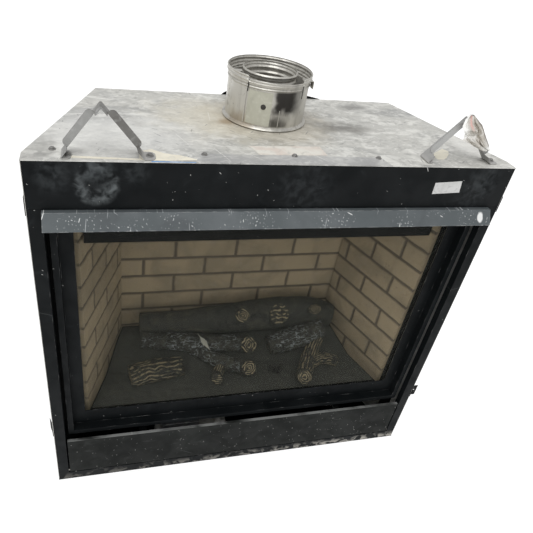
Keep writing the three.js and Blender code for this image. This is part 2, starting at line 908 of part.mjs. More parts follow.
// Brick-pattern liners: a flat panel with mortar grooves, running bond.
// jointOffset places the upright joints of odd and even courses along the panel.
function brickPanel(length, jointOffset) {
  const height = linerHigh - linerLow;
  const grooves = [];
  const courses = Math.ceil(height / courseHeight);
  for (let course = 0; course < courses; course += 1) {
    const low = course * courseHeight;
    if (course > 0) {
      grooves.push(block(
        -cutOverrun,
        length + cutOverrun,
        -cutOverrun,
        mortarDepth,
        low - mortarWidth / 2,
        low + mortarWidth / 2,
      ));
    }
    const high = Math.min(low + courseHeight, height + cutOverrun);
    const phase = jointOffset + (course % 2) * brickLength / 2;
    for (let x = phase - brickLength * 4; x < length - mortarWidth; x += brickLength) {
      if (x < mortarWidth) continue;
      grooves.push(block(
        x - mortarWidth / 2,
        x + mortarWidth / 2,
        -cutOverrun,
        mortarDepth,
        low,
        high,
      ));
    }
  }
  const panel = block(0, length, 0, linerThickness, 0, height);
  return grooves.reduce((rest, groove) => rest.subtract(groove), panel);
}

// Puts a panel made along X with its face towards -Y into place: it starts at a point and runs along a
// direction in plan
function placed(solid, x, y, z, runX, runY) {
  const geometry = toGeometry(solid);
  const turn = new THREE.Matrix4();
  turn.makeBasis(
    new THREE.Vector3(runX, runY, 0),
    new THREE.Vector3(-runY, runX, 0),
    new THREE.Vector3(0, 0, 1),
  );
  geometry.applyMatrix4(turn);
  geometry.translate(x, y, z);
  geometry.deleteAttribute('normal');
  return toSolid(geometry);
}

const linerBackHalf = linerFaceAt(linerBackRear) + linerThickness * taperLength;
const backJointOffset = linerBackHalf + brickLength / 2;
const backBricks = brickPanel(linerBackHalf * 2, backJointOffset);
const backPanel = placed(backBricks, -linerBackHalf, linerBackFace, linerLow, 1, 0);
addPiece('brick_back', backPanel, ...brickFinish);

const wallX = taper / taperLength;
const wallY = 1 / taperLength;
const sideLinerBack = linerBackFace - seatGap - linerThickness * wallX;
const sideLinerLength = (sideLinerBack - linerFront) / wallY;
const cornerJoint = brickLength - linerBackHalfWidth % brickLength;
addPiece('brick_right', placed(
  brickPanel(sideLinerLength, cornerJoint + brickLength / 2),
  linerFaceAt(sideLinerBack),
  sideLinerBack,
  linerLow,
  wallX,
  -wallY,
), ...brickFinish);
addPiece('brick_left', placed(
  brickPanel(sideLinerLength, sideLinerLength - cornerJoint - brickLength / 2),
  -linerFaceAt(linerFront),
  linerFront,
  linerLow,
  wallX,
  wallY,
), ...brickFinish);

// Lintel baffle, hung from the firebox top
const lintelLow = fireboxTopLow - lintelDrop;
const lintelHalfWidth = linerFaceAt(lintelFront + lintelLip) - lintelEndGap;
addPiece('lintel_baffle', alongX(foldedSheet([
  [lintelFront + lintelLip, lintelLow],
  [lintelFront, lintelLow],
  [lintelFront, fireboxWallTop],
  [lintelFront + lintelLip, fireboxWallTop],
].reverse(), facingSheet), -lintelHalfWidth, lintelHalfWidth), ...blackSteel);

// Burner platform: pressed from sheet, open below, with a ramp and a shelf at the back
const platformBack = linerBackFace - platformSideGap;
const shelfFront = platformBack - shelfDepth;
const rampFront = shelfFront - platformRampLength;
function platformProfile(sheet) {
  return [
    [platformFront + sheet, linerLow - sheet * 2],
    [platformFront + sheet, platformTop - sheet],
    [rampFront, platformTop - sheet],
    [shelfFront, shelfTop - sheet],
    [platformBack - sheet, shelfTop - sheet],
    [platformBack - sheet, linerLow - sheet * 2],
  ];
}

function platformPlan(inset) {
  const front = platformFront + inset;
  const back = platformBack - inset;
  const narrower = platformSideGap * taperLength + inset;
  return [
    [-linerFaceAt(front) + narrower, front],
    [linerFaceAt(front) - narrower, front],
    [linerFaceAt(back) - narrower, back],
    [-linerFaceAt(back) + narrower, back],
  ];
}

function platformBlock(sheet) {
  const reach = linerFaceAt(platformFront);
  return alongX(platformProfile(sheet), -reach, reach)
    .intersect(upright(platformPlan(sheet), linerLow - sheet * 2, shelfTop + cutOverrun));
}

const platformWhole = platformBlock(0);
addPiece('burner_platform', cut(platformWhole, platformBlock(platformSheet)), ...blackSteel);

// Ceramic logs. Places are shares of the hearth: across from the middle to the back corner, back from the
// liner's front to its back, and up from the floor.
function hearthPoint([across, back, up]) {
  return new THREE.Vector3(
    across * linerBackHalfWidth,
    linerFront + back * (linerBackFace - linerFront),
    linerLow + up * logZoneHeight,
  );
}

// A log: rings of points round a smooth centre line, wide and tall radii as shares of one radius,
// slightly uneven, with flat ends. extra widens the whole for a clearance cut.
function logSolid(shape, radius, extra = 0) {
  const curve = new THREE.CatmullRomCurve3(shape.pathShares.map(hearthPoint));
  const rings = shape.rings;
  const spans = shape.wideShares.length - 1;
  const points = [];
  const up = new THREE.Vector3(0, 0, 1);
  const between = (shares, t) => {
    const span = Math.min(Math.floor(t * spans), spans - 1);
    return THREE.MathUtils.lerp(shares[span], shares[span + 1], t * spans - span);
  };
  for (let ring = 0; ring < rings; ring += 1) {
    const t = ring / (rings - 1);
    const centre = curve.getPoint(t);
    const run = curve.getTangent(t);
    const side = run.clone().cross(up).normalize();
    const over = side.clone().cross(run).normalize();
    for (let k = 0; k < logSides; k += 1) {
      const angle = (k / logSides) * Math.PI * 2;
      const uneven = 1 + shape.bumpShare * Math.sin(3 * angle + 7 * t) * Math.cos(2 * angle - 11 * t);
      const wide = radius * between(shape.wideShares, t) * uneven + extra;
      const tall = radius * between(shape.tallShares, t) * uneven + extra;
      points.push(centre.clone()
        .addScaledVector(side, wide * Math.cos(angle))
        .addScaledVector(over, tall * Math.sin(angle)));
    }
  }
  points.push(curve.getPoint(0).addScaledVector(curve.getTangent(0), -extra));
  points.push(curve.getPoint(1).addScaledVector(curve.getTangent(1), extra));
  const index = [];
  for (let ring = 0; ring + 1 < rings; ring += 1) {
    for (let k = 0; k < logSides; k += 1) {
      const a = ring * logSides + k;
      const b = ring * logSides + (k + 1) % logSides;
      index.push(a, b, a + logSides, b, b + logSides, a + logSides);
    }
  }
  const first = rings * logSides;
  const last = (rings - 1) * logSides;
  for (let k = 0; k < logSides; k += 1) {
    const next = (k + 1) % logSides;
    index.push(first, next, k, first + 1, last + k, last + next);
  }
  const geometry = new THREE.BufferGeometry().setFromPoints(points);
  geometry.setIndex(index);
  return toSolid(geometry);
}

const rearLogShape = {
  pathShares: [
    [-0.85, 0.868, 0.505], [-0.5, 0.85, 0.515], [-0.22, 0.835, 0.545], [0.1, 0.828, 0.575],
    [0.46, 0.828, 0.612], [0.78, 0.828, 0.585], [1.02, 0.79, 0.515],
  ],
  wideShares: [0.5, 0.55, 0.62, 0.68, 0.7, 0.66, 0.55],
  tallShares: [0.62, 0.66, 0.78, 0.88, 1, 0.9, 0.7],
  rings: 15,
  bumpShare: 0.05,
};
const charredLogShape = {
  pathShares: [[-0.84, 0.71, 0.38], [-0.46, 0.645, 0.345], [-0.1, 0.61, 0.32], [0.15, 0.588, 0.29]],
  wideShares: [0.9, 1.1, 1.05, 1],
  tallShares: [0.9, 1.05, 1, 1],
  rings: 11,
  bumpShare: 0.08,
};
const slantingLogShape = {
  pathShares: [[-0.4, 0.6, 0.27], [-0.15, 0.42, 0.2], [0.094, 0.296, 0.185]],
  wideShares: [0.8, 1, 1],
  tallShares: [0.8, 0.95, 1],
  rings: 8,
  bumpShare: 0.06,
};
const stubShape = {
  pathShares: [[-0.1, 0.4, 0.18], [-0.18, 0.3, 0.165], [-0.225, 0.205, 0.15]],
  wideShares: [1, 1, 1],
  tallShares: [1, 1, 1],
  rings: 4,
  bumpShare: 0.04,
};
const splitLogShape = {
  pathShares: [[-0.96, 0.335, 0.17], [-0.74, 0.375, 0.19], [-0.5, 0.42, 0.17]],
  wideShares: [1, 1.05, 0.8],
  tallShares: [0.62, 0.72, 0.55],
  rings: 7,
  bumpShare: 0.1,
};
const rightLogShape = {
  pathShares: [[0.34, 0.55, 0.27], [0.58, 0.58, 0.35], [0.88, 0.65, 0.45]],
  wideShares: [0.85, 1, 0.9],
  tallShares: [0.8, 1, 0.9],
  rings: 9,
  bumpShare: 0.08,
};
const forkedLogShape = {
  pathShares: [[0.6, 0.135, 0.19], [0.7, 0.36, 0.22], [0.83, 0.56, 0.33]],
  wideShares: [1, 0.95, 0.85],
  tallShares: [1, 0.95, 0.85],
  rings: 8,
  bumpShare: 0.06,
};
const forkShape = {
  pathShares: [[0.68, 0.28, 0.19], [0.84, 0.34, 0.19], [0.98, 0.31, 0.15]],
  wideShares: [1, 1, 0.9],
  tallShares: [1, 1, 0.9],
  rings: 6,
  bumpShare: 0.05,
};

const underPlatform = join(
  platformWhole.translate(0, 0, seatGap),
  block(
    -casingWidth,
    casingWidth,
    0,
    casingDepth,
    -casingHeight,
    platformTop + seatGap,
  ),
);
const betweenLiners = upright(platformPlan(0), 0, casingHeight);
const rearLog = cut(logSolid(rearLogShape, rearLogRadius), underPlatform).intersect(betweenLiners);
const charredLog = cut(
  logSolid(charredLogShape, charredLogRadius),
  underPlatform,
  logSolid(rearLogShape, rearLogRadius, seatGap),
);
const slantingLog = cut(
  join(logSolid(slantingLogShape, slantingLogRadius), logSolid(stubShape, stubRadius)),
  underPlatform,
  logSolid(charredLogShape, charredLogRadius, seatGap),
);
const splitLog = cut(
  logSolid(splitLogShape, splitLogRadius),
  underPlatform,
  logSolid(charredLogShape, charredLogRadius, seatGap),
);
const rightLog = cut(
  logSolid(rightLogShape, rightLogRadius),
  underPlatform,
  logSolid(rearLogShape, rearLogRadius, seatGap),
);
const forkedLog = cut(
  join(logSolid(forkedLogShape, forkedLogRadius), logSolid(forkShape, forkRadius)),
  underPlatform,
  logSolid(rightLogShape, rightLogRadius, seatGap),
  logSolid(rearLogShape, rearLogRadius, seatGap),
);
addPiece('rear_log', rearLog, ...logFinish);
addPiece('charred_log', charredLog, ...logFinish);
addPiece('slanting_log', slantingLog, ...logFinish);
addPiece('split_log', splitLog, ...logFinish);
addPiece('right_log', rightLog, ...logFinish);
addPiece('forked_log', forkedLog, ...logFinish);

// Pilot assembly: a plate with the pilot hood, the electrode and the thermopile
const pilotLow = platformTop + seatGap;
const pilotBack = THREE.MathUtils.lerp(platformFront, rampFront, pilotBackShare);
function pilotPost(place, radius, rise) {
  return turned(rodProfile(radius, 0, rise), smallSides, pilotRight + place, pilotBack, pilotLow);
}

addPiece('pilot_assembly', join(
  block(
    pilotRight - pilotPlateWidth / 2,
    pilotRight + pilotPlateWidth / 2,
    pilotBack - pilotPlateDepth / 2,
    pilotBack + pilotPlateDepth / 2,
    pilotLow,
    pilotLow + pilotPlateSheet,
  ),
  pilotPost(0, pilotHoodRadius, pilotHoodRise),
  pilotPost(-pilotStep, electrodeRadius, electrodeRise),
  pilotPost(pilotStep, thermopileRadius, thermopileRise),
), ...stainless);

// Glass assembly: a stepped frame, the pane in it and a rope gasket behind

const glassHalfWidth = frameHalfWidth - glassSideMargin;
const glassLow = frameLow + glassLowMargin;
const glassHigh = frameHigh - glassHighMargin;
const stepBack = frameFront + frameFaceDepth;
const faceBack = stepBack + frameSheet;
function frameRing(outerInset, innerInset, y0, y1) {
  const outer = rectangle(
    -frameHalfWidth + outerInset,
    frameHalfWidth - outerInset,
    frameLow + outerInset,
    frameHigh - outerInset,
  );
  const inner = rectangle(
    -frameHalfWidth + innerInset,
    frameHalfWidth - innerInset,
    frameLow + innerInset,
    frameHigh - innerInset,
  );
  return alongY(outer, y0, y1, [inner]);
}

const retainerInnerHalf = glassHalfWidth + glassEdgeGap;
const retainerLow = glassLow - glassEdgeGap;
const retainerHigh = glassHigh + glassEdgeGap;
const retainer = alongY(
  rectangle(
    -retainerInnerHalf - frameSheet,
    retainerInnerHalf + frameSheet,
    retainerLow - frameSheet,
    retainerHigh + frameSheet,
  ),
  stepBack,
  stepBack + retainerDepth,
  [rectangle(-retainerInnerHalf, retainerInnerHalf, retainerLow, retainerHigh)],
);
const frameFace = alongY(
  rectangle(-frameHalfWidth, frameHalfWidth, frameLow, frameHigh),
  stepBack,
  faceBack,
  [rectangle(-viewHalfWidth, viewHalfWidth, viewLow, viewHigh)],
);
addPiece('glass_frame', join(
  frameRing(0, frameStepWidth, frameFront, frameFront + frameSheet),
  frameRing(frameStepWidth - frameSheet, frameStepWidth, frameFront, faceBack),
  frameFace,
  retainer,
), ...blackPaint);

const paneFront = faceBack + seatGap;
const paneBack = paneFront + glassThickness;
addPiece('glass_pane', block(
  -glassHalfWidth,
  glassHalfWidth,
  paneFront,
  paneBack,
  glassLow,
  glassHigh,
), ...[0x20211f, 0.05, 0]);

const gasketFront = paneBack + seatGap;
const gasketBack = ringFront - seatGap;
const gasketHalfWidth = glassHalfWidth - gasketInset;
addPiece('glass_gasket', alongY(
  rectangle(-gasketHalfWidth, gasketHalfWidth, glassLow + gasketInset, glassHigh - gasketInset),
  gasketFront,
  gasketBack,
  [rectangle(
    -gasketHalfWidth + gasketWidth,
    gasketHalfWidth - gasketWidth,
    glassLow + gasketInset + gasketWidth,
    glassHigh - gasketInset - gasketWidth,
  )],
), ...[0x6f6d66, 0.95, 0]);

// Glass latches: a crank of hook and finger tab on a pin
function latch(place) {
  const half = latchSheet / 2;
  const hook = block(
    place - latchWidth / 2,
    place + latchWidth / 2,
    latchPivotBack - half,
    latchPivotBack + half,
    latchPivotRise - half,
    latchPivotRise + latchHookReach,
  );
  const tab = block(
    place - latchWidth / 2,
    place + latchWidth / 2,
    latchPivotBack - latchTab,
    latchPivotBack + half,
    latchPivotRise - half,
    latchPivotRise + half,
  );
  const reach = latchWidth / 2 + latchEarGap + latchEarSheet + sideGap;
  const pin = turnedRight(
    rodProfile(latchPinRadius, -reach, reach),
    smallSides,
    place,
    latchPivotBack,
    latchPivotRise,
  );
  return join(hook, tab, pin);
}

addPiece('glass_latch_left', latch(-latchPlace), ...blackSteel);
addPiece('glass_latch_right', latch(latchPlace), ...blackSteel);

// Access panel: a flat face with flanges at its top and ends, swinging on a rod

const panelHigh = panelLow + panelHeight;
const panelHalf = openingHalfWidth - panelSideGap;
const rodHalf = openingHalfWidth + rodPast;
addPiece('access_panel', cut(
  block(-panelHalf, panelHalf, 0, panelFlange, panelLow, panelHigh),
  block(
    -panelHalf + facingSheet,
    panelHalf - facingSheet,
    facingSheet,
    panelFlange + cutOverrun,
    panelLow - cutOverrun,
    panelHigh - facingSheet,
  ),
  rodHole(-casingWidth, casingWidth),
), ...blackPaint);
addPiece('panel_hinge_rod', turnedRight(
  rodProfile(rodRadius, -rodHalf, rodHalf),
  smallSides,
  0,
  rodY,
  rodZ,
), ...stainless);

// Gas controls

const bracketTop = bracketHeight + bracketSheet;
const igniterZ = bracketTop + igniterRise;
const bracketBody = alongY(foldedSheet([
  [bracketLeft - bracketFoot, wallLow],
  [bracketLeft, wallLow],
  [bracketLeft, bracketHeight],
  [bracketRight, bracketHeight],
  [bracketRight, wallLow],
  [bracketRight + bracketFoot, wallLow],
], bracketSheet), bracketFront, bracketBack);
const igniterTab = block(
  igniterPlace - igniterTabWidth / 2,
  igniterPlace + igniterTabWidth / 2,
  bracketFront,
  bracketFront + bracketSheet,
  bracketHeight,
  igniterZ + igniterTabWidth / 2,
);
const barrelBack = barrelFront + barrelLength;
const barrel = turnedBack([
  [0, barrelBack],
  [barrelRadius, barrelBack],
  [barrelRadius, barrelFront],
  [0, barrelFront],
], smallSides, igniterPlace, 0, igniterZ);
const barrelHole = turnedBack(
  rodProfile(barrelBore, barrelFront - cutOverrun, barrelBack - bracketSheet),
  smallSides,
  igniterPlace,
  0,
  igniterZ,
);
addPiece('control_bracket', cut(join(bracketBody, igniterTab, barrel), barrelHole), ...galvanised);

const plungerFront = barrelFront - plungerCapLength;
addPiece('igniter_button', turnedBack([
  [0, plungerFront],
  [plungerRadius, plungerFront],
  [plungerRadius, plungerFront + plungerLength],
  [0, plungerFront + plungerLength],
], smallSides, igniterPlace, 0, igniterZ), ...[0xa02a20, 0.4, 0]);

const valveLow = bracketTop + seatGap;
const valveHigh = valveLow + valveHeight;
const knobZ = valveLow + knobRise;
const shaftHoleRadius = knobShaftRadius + turningGap;
const shaftHoleDepth = knobShaftLength + sideGap;
function shaftHole(place) {
  return turnedBack(
    rodProfile(shaftHoleRadius, valveFront - cutOverrun, valveFront + shaftHoleDepth),
    smallSides,
    place,
    0,
    knobZ,
  );
}

addPiece('gas_valve', cut(
  alongY([
    [valveLeft, valveLow],
    [valveRight, valveLow],
    [valveRight, valveHigh],
    [valveLeft + valveShoulder, valveHigh],
    [valveLeft, valveHigh - valveShoulder],
  ], valveFront, valveBack),
  shaftHole(gasKnobPlace),
  shaftHole(flameKnobPlace),
), ...[0x8c8f90, 0.4, 0.8]);

// A knob: skirt, round body, a grip bar across its face, and a shaft in the valve
function knob(place, radius, reach) {
  const back = valveFront - turningGap;
  const front = back - reach;
  const body = turnedBack([
    [0, front + knobSkirt],
    [radius * knobCrownShare, front + knobSkirt],
    [radius * knobWaistShare, back - knobSkirt],
    [radius, back - knobSkirt],
    [radius, back],
    [knobShaftRadius, back],
    [knobShaftRadius, valveFront + knobShaftLength],
    [0, valveFront + knobShaftLength],
  ], smallSides, place, 0, knobZ);
  const grip = block(
    place - knobGripWidth / 2,
    place + knobGripWidth / 2,
    front,
    back - knobSkirt,
    knobZ - radius * knobGripShare,
    knobZ + radius * knobGripShare,
  );
  return join(body, grip);
}

addPiece('gas_knob', knob(gasKnobPlace, gasKnobRadius, gasKnobReach), ...[0x151515, 0.5, 0]);
addPiece('flame_knob', knob(flameKnobPlace, flameKnobRadius, flameKnobReach), ...[0x151515, 0.5, 0]);

// Shut-off valve with its nipple into the gas valve, on the pipe's line
const nippleEnd = valveRight + seatGap;
addPiece('shutoff_valve', join(
  turnedRight([
    [0, nippleEnd],
    [nippleRadius, nippleEnd],
    [nippleRadius, shutoffLeft],
    [shutoffRadius, shutoffLeft],
    [shutoffRadius, shutoffRight],
    [0, shutoffRight],
  ], smallSides, 0, pipeBack, pipeRise),
  turned(
    rodProfile(stemRadius, pipeRise, pipeRise + shutoffRadius + stemHeight),
    smallSides,
    (shutoffLeft + shutoffRight) / 2,
    pipeBack,
    0,
  ),
), ...brassFinish);

// Quarter-turn handle on the stem, lying along the pipe when the gas is on
const stemX = (shutoffLeft + shutoffRight) / 2;
const handleLow = pipeRise + shutoffRadius + seatGap;
addPiece('shutoff_handle', cut(
  join(
    block(
      stemX,
      stemX + handleLength,
      pipeBack - handleWidth / 2,
      pipeBack + handleWidth / 2,
      handleLow,
      handleLow + handleSheet,
    ),
    turned(rodProfile(handleBossRadius, handleLow, handleLow + handleSheet), smallSides, stemX, pipeBack, 0),
  ),
  turned(
    rodProfile(stemRadius + turningGap, handleLow - cutOverrun, handleLow + cutOverrun * 2),
    smallSides,
    stemX,
    pipeBack,
    0,
  ),
), ...[0xb9972f, 0.5, 0.6]);

// Gas inlet pipe through the right side, with a capped union nut outside
const inletEnd = casingSideAt(pipeBack) + inletReach;
addPiece('gas_inlet_pipe', turnedRight([
  [0, shutoffRight + seatGap],
  [pipeRadius, shutoffRight + seatGap],
  [pipeRadius, inletEnd - inletNutLength],
  [inletNutRadius, inletEnd - inletNutLength],
  [inletNutRadius, inletEnd],
  [0, inletEnd],
], smallSides, 0, pipeBack, pipeRise), ...brassFinish);

// Burner feed pipe with its air shutter, from the valve's top to the underside of the platform
const feedTop = platformTop - platformSheet - seatGap;
addPiece('burner_feed_pipe', turned([
  [0, valveHigh + seatGap],
  [feedRadius, valveHigh + seatGap],
  [feedRadius, feedShutterLow],
  [feedShutterRadius, feedShutterLow],
  [feedShutterRadius, feedShutterLow + feedShutterHeight],
  [feedRadius, feedShutterLow + feedShutterHeight],
  [feedRadius, feedTop],
  [0, feedTop],
], smallSides, feedPlace, pipeBack, 0), ...stainless);

const fireplace = new THREE.Group();
fireplace.add(model);

export default fireplace;
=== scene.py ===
"""Dresses a gas fireplace: rounded sheet metal, a vent with rolled beads, brick-pattern liners,
a ceramic log set on its ember bed, and procedural finishes, with the camera where the photograph was taken.

Every length is in metres in the part's own frame: X to the right, Y to the back, Z up from the floor.
"""

import json
import math

import bmesh
import bpy
import numpy as np
from mathutils import Matrix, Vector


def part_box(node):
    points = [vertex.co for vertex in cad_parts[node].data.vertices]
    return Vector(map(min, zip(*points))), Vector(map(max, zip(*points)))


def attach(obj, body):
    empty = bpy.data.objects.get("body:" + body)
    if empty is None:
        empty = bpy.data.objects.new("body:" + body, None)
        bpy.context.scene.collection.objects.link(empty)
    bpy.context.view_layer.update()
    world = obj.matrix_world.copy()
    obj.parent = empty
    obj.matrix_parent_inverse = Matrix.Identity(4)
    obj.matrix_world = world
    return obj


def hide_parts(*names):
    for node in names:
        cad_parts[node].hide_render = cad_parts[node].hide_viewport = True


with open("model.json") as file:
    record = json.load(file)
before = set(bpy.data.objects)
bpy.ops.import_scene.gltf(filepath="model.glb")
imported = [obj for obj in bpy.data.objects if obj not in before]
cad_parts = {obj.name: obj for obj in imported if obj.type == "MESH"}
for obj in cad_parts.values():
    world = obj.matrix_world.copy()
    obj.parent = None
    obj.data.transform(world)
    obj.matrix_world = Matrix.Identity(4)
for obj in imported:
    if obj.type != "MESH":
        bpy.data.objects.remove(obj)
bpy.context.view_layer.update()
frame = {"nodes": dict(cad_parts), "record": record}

# Heights and places of the frame that the new pieces sit on
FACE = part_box("front_header")[0].y
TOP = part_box("casing_top")[1].z
VENT_BACK = sum(c.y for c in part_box("vent_inner_flue")) / 2
VENT_ACROSS = sum(c.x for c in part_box("vent_inner_flue")) / 2
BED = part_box("forked_log")[0].z
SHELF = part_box("burner_platform")[1].z
LINER_LOW, LINER_HIGH = (corner.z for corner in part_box("brick_back"))
LINER_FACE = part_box("brick_back")[0].y
LINER_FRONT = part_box("brick_left")[0].y

# Half the width between the side liners where they meet the back one
LINER_HALF = 0.339

# The sides of the casing and of the liners open by 135.5 mm over 367 mm of depth towards the front
TAPER = 135.5 / 367.0

# The casing's back: its place in depth and half its width
CASING_BACK = 0.2
CASING_BACK_HALF = 0.398


# Noise worked out on whole arrays


def value_noise(points, seed=0):
    """Smooth noise from -1 to 1: the random values at the eight whole-number corners round each point are
    mixed, with 3t^2 - 2t^3 of the point's share along each axis as the weight."""
    cell = np.floor(points).astype(np.int64)
    share = points - cell
    share = share * share * (3 - 2 * share)
    total = np.zeros(points.shape[:-1])
    for corner in range(8):
        step = np.array([corner & 1, corner >> 1 & 1, corner >> 2])
        at = cell + step
        key = at[..., 0] * 73856093 ^ at[..., 1] * 19349663 ^ at[..., 2] * 83492791 ^ seed * 265443
        key = (key ^ key >> 13) * 1274126177 & 0xFFFFFFFF
        value = ((key ^ key >> 16) & 0xFFFF) / 32767.5 - 1
        total += value * np.prod(np.where(step == 1, share, 1 - share), axis=-1)
    return total


def layered_noise(points, seed=0, layers=4):
    """value_noise and finer layers of it, each twice as fine and half as strong as the last."""
    return sum(value_noise(points * 2**k, seed + k) / 2**k for k in range(layers))


def crease_lines(points, width, seed=0):
    """Thin lines, 1 on the line and 0 away from it: where the noise crosses zero, 1 - |noise| / width."""
    return np.clip(1 - np.abs(value_noise(points, seed)) / width, 0, 1)


def rise(x, low, high):
    """0 below low, 1 above high, and 3t^2 - 2t^3 between them."""
    t = np.clip((x - low) / (high - low), 0, 1)
    return t * t * (3 - 2 * t)


# Making meshes


def grid_faces(rows, columns, wrap_rows=False, wrap_columns=False):
    """Four-sided faces between neighbours on a grid; wrapping joins its last row or column to its first."""
    row = np.arange(rows if wrap_rows else rows - 1)[:, None]
    column = np.arange(columns if wrap_columns else columns - 1)[None, :]
    below = (row + 1) % rows
    beside = (column + 1) % columns
    row, below = row * columns, below * columns
    corners = [row + column, row + beside, below + beside, below + column]
    return np.stack(np.broadcast_arrays(*corners), axis=-1).reshape(-1, 4).tolist()


def new_piece(name, points, faces, body, slot, material, replaces=(), sharp=35, **attributes):
    """A mesh piece on a body. Points is an array of corners; an attribute is one number for each corner."""
    mesh = bpy.data.meshes.new(name)
    mesh.from_pydata(points.reshape(-1, 3).tolist(), [], faces)
    for label, values in attributes.items():
        layer = mesh.attributes.new(label, "FLOAT", "POINT")
        layer.data.foreach_set("value", np.ascontiguousarray(values, dtype=np.float32).ravel())
    shell = bmesh.new()
    shell.from_mesh(mesh)
    bmesh.ops.recalc_face_normals(shell, faces=shell.faces)
    shell.to_mesh(mesh)
    shell.free()
    mesh.shade_smooth()
    mesh.set_sharp_from_angle(angle=math.radians(sharp))
    mesh.materials.append(material)
    piece = bpy.data.objects.new(name, mesh)
    bpy.context.scene.collection.objects.link(piece)
    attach(piece, body)
    if replaces:
        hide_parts(*replaces)
    return piece


def capped(rows, columns):
    """Faces of a closed tube: the grid of its wall, and one face over each end."""
    ends = [list(range(columns)), list(range((rows - 1) * columns, rows * columns))]
    return grid_faces(rows, columns, wrap_columns=True) + ends


def rim_of(rows, columns):
    """The row and the column of each point on the rim of a grid, once round."""
    rim = [(0, c) for c in range(columns)] + [(r, columns - 1) for r in range(1, rows)]
    rim += [(rows - 1, c) for c in range(columns - 2, -1, -1)] + [(r, 0) for r in range(rows - 2, 0, -1)]
    return np.array(rim).T


def skirt(near, far):
    """The four-sided faces between two closed rows of corners that run side by side."""
    return np.stack([near, np.roll(near, -1), np.roll(far, -1), far], axis=-1)


def slab(front, back):
    """Corners and faces of a closed slab between two grids of points of one shape, joined round their rim."""
    rows, columns = front.shape[:2]
    row, column = rim_of(rows, columns)
    near = row * columns + column
    behind = rows * columns
    faces = np.array(grid_faces(rows, columns))
    sides = skirt(near, near + behind)
    return np.concatenate([front, back]), np.concatenate([faces, faces + behind, sides]).tolist()


def lathe(profile, sides, centre, wobble=None):
    """Points of a turned wall: each (radius, height) of the profile at each angle round the centre. Wobble is
    added to the radius as a function of the angle and the height."""
    radius, height = np.array(profile, dtype=float).T[:, :, None]
    angle = np.linspace(0, 2 * np.pi, sides, endpoint=False)[None, :]
    if wobble:
        radius = radius + wobble(angle, height + 0 * angle)
    x = radius * np.cos(angle)
    y = radius * np.sin(angle)
    z = height + 0 * angle
    return np.stack([x, y, z], axis=-1) + np.array(centre)


def rounded_path(corners, radius, steps=5):
    """A path through the corners with each bend rounded: near a corner P the path is the curve
    (1-t)^2 A + 2t(1-t) P + t^2 B, where A and B lie one radius before and after it."""
    corners = np.array(corners, dtype=float)
    path = [corners[:1]]
    for before, corner, after in zip(corners, corners[1:], corners[2:]):
        a = corner + (before - corner) / np.linalg.norm(before - corner) * radius
        b = corner + (after - corner) / np.linalg.norm(after - corner) * radius
        t = np.linspace(0, 1, steps)[:, None]
        path.append((1 - t) ** 2 * a + 2 * t * (1 - t) * corner + t**2 * b)
    path.append(corners[-1:])
    return np.concatenate(path)


def add_modifier(piece, kind, **settings):
    """Puts a modifier of a kind on a piece, with these settings."""
    modifier = piece.modifiers.new(kind.title(), kind)
    for key, value in settings.items():
        setattr(modifier, key, value)


# Nodes and the groups of nodes that several finishes share


def put(tree, kind, inputs=None, **settings):
    """Adds a node. Inputs maps a socket's name or number to a value, or to another node's output."""
    node = tree.nodes.new("ShaderNode" + kind)
    for key, value in settings.items():
        setattr(node, key, value)
    for key, value in (inputs or {}).items():
        if isinstance(value, bpy.types.NodeSocket):
            tree.links.new(value, node.inputs[key])
        else:
            node.inputs[key].default_value = value
    return node


def sums(tree, operation, first, second):
    """The result of one sum on two values or outputs."""
    return put(tree, "Math", {0: first, 1: second}, operation=operation).outputs[0]


def vectors(tree, operation, first, second):
    """The result of one sum on two vectors, or on a vector and the number that scales it."""
    inputs = {0: first, "Scale" if operation == "SCALE" else 1: second}
    return put(tree, "VectorMath", inputs, operation=operation).outputs[0]


def noise(tree, place, scale, detail, twist=0.0):
    """The outputs of a noise at a place: Fac, one number, and Color, three of them."""
    inputs = {"Vector": place, "Scale": scale, "Detail": detail, "Distortion": twist}
    return put(tree, "TexNoise", inputs).outputs


def frayed(tree, place, scale, detail, reach):
    """A place moved by fine noise, as far as reach, so that what is drawn there gets a ragged edge."""
    step = vectors(tree, "SCALE", noise(tree, place, scale, detail)["Color"], reach)
    return vectors(tree, "ADD", place, step)


def between(tree, value, low, high, to_low=0.0, to_high=1.0):
    """A value's smooth share of the way from low to high, run from to_low to to_high."""
    ranges = {"Value": value, "From Min": low, "From Max": high, "To Min": to_low, "To Max": to_high}
    return put(tree, "MapRange", ranges, interpolation_type="SMOOTHSTEP").outputs[0]


def new_group(name, inputs, output, kind="NodeSocketFloat"):
    """An empty node group with named inputs of default values, and one output."""
    group = bpy.data.node_groups.new(name, "ShaderNodeTree")
    for label, value in inputs.items():
        socket_kind = "NodeSocketFloat" if isinstance(value, (int, float)) else "NodeSocketVector"
        socket = group.interface.new_socket(label, in_out="INPUT", socket_type=socket_kind)
        socket.default_value = value
    group.interface.new_socket(output, in_out="OUTPUT", socket_type=kind)
    return group, group.nodes.new("NodeGroupInput").outputs, group.nodes.new("NodeGroupOutput").inputs


def make_blotches():
    """Mask of soft patches: noise between Low and High."""
    inputs = {"Place": (0, 0, 0), "Scale": 5.0, "Detail": 6.0, "Twist": 0.5, "Low": 0.45, "High": 0.65}
    group, given, out = new_group("Blotches", inputs, "Mask")
    cloud = noise(group, given["Place"], given["Scale"], given["Detail"], given["Twist"])["Fac"]
    group.links.new(between(group, cloud, given["Low"], given["High"]), out["Mask"])
    return group


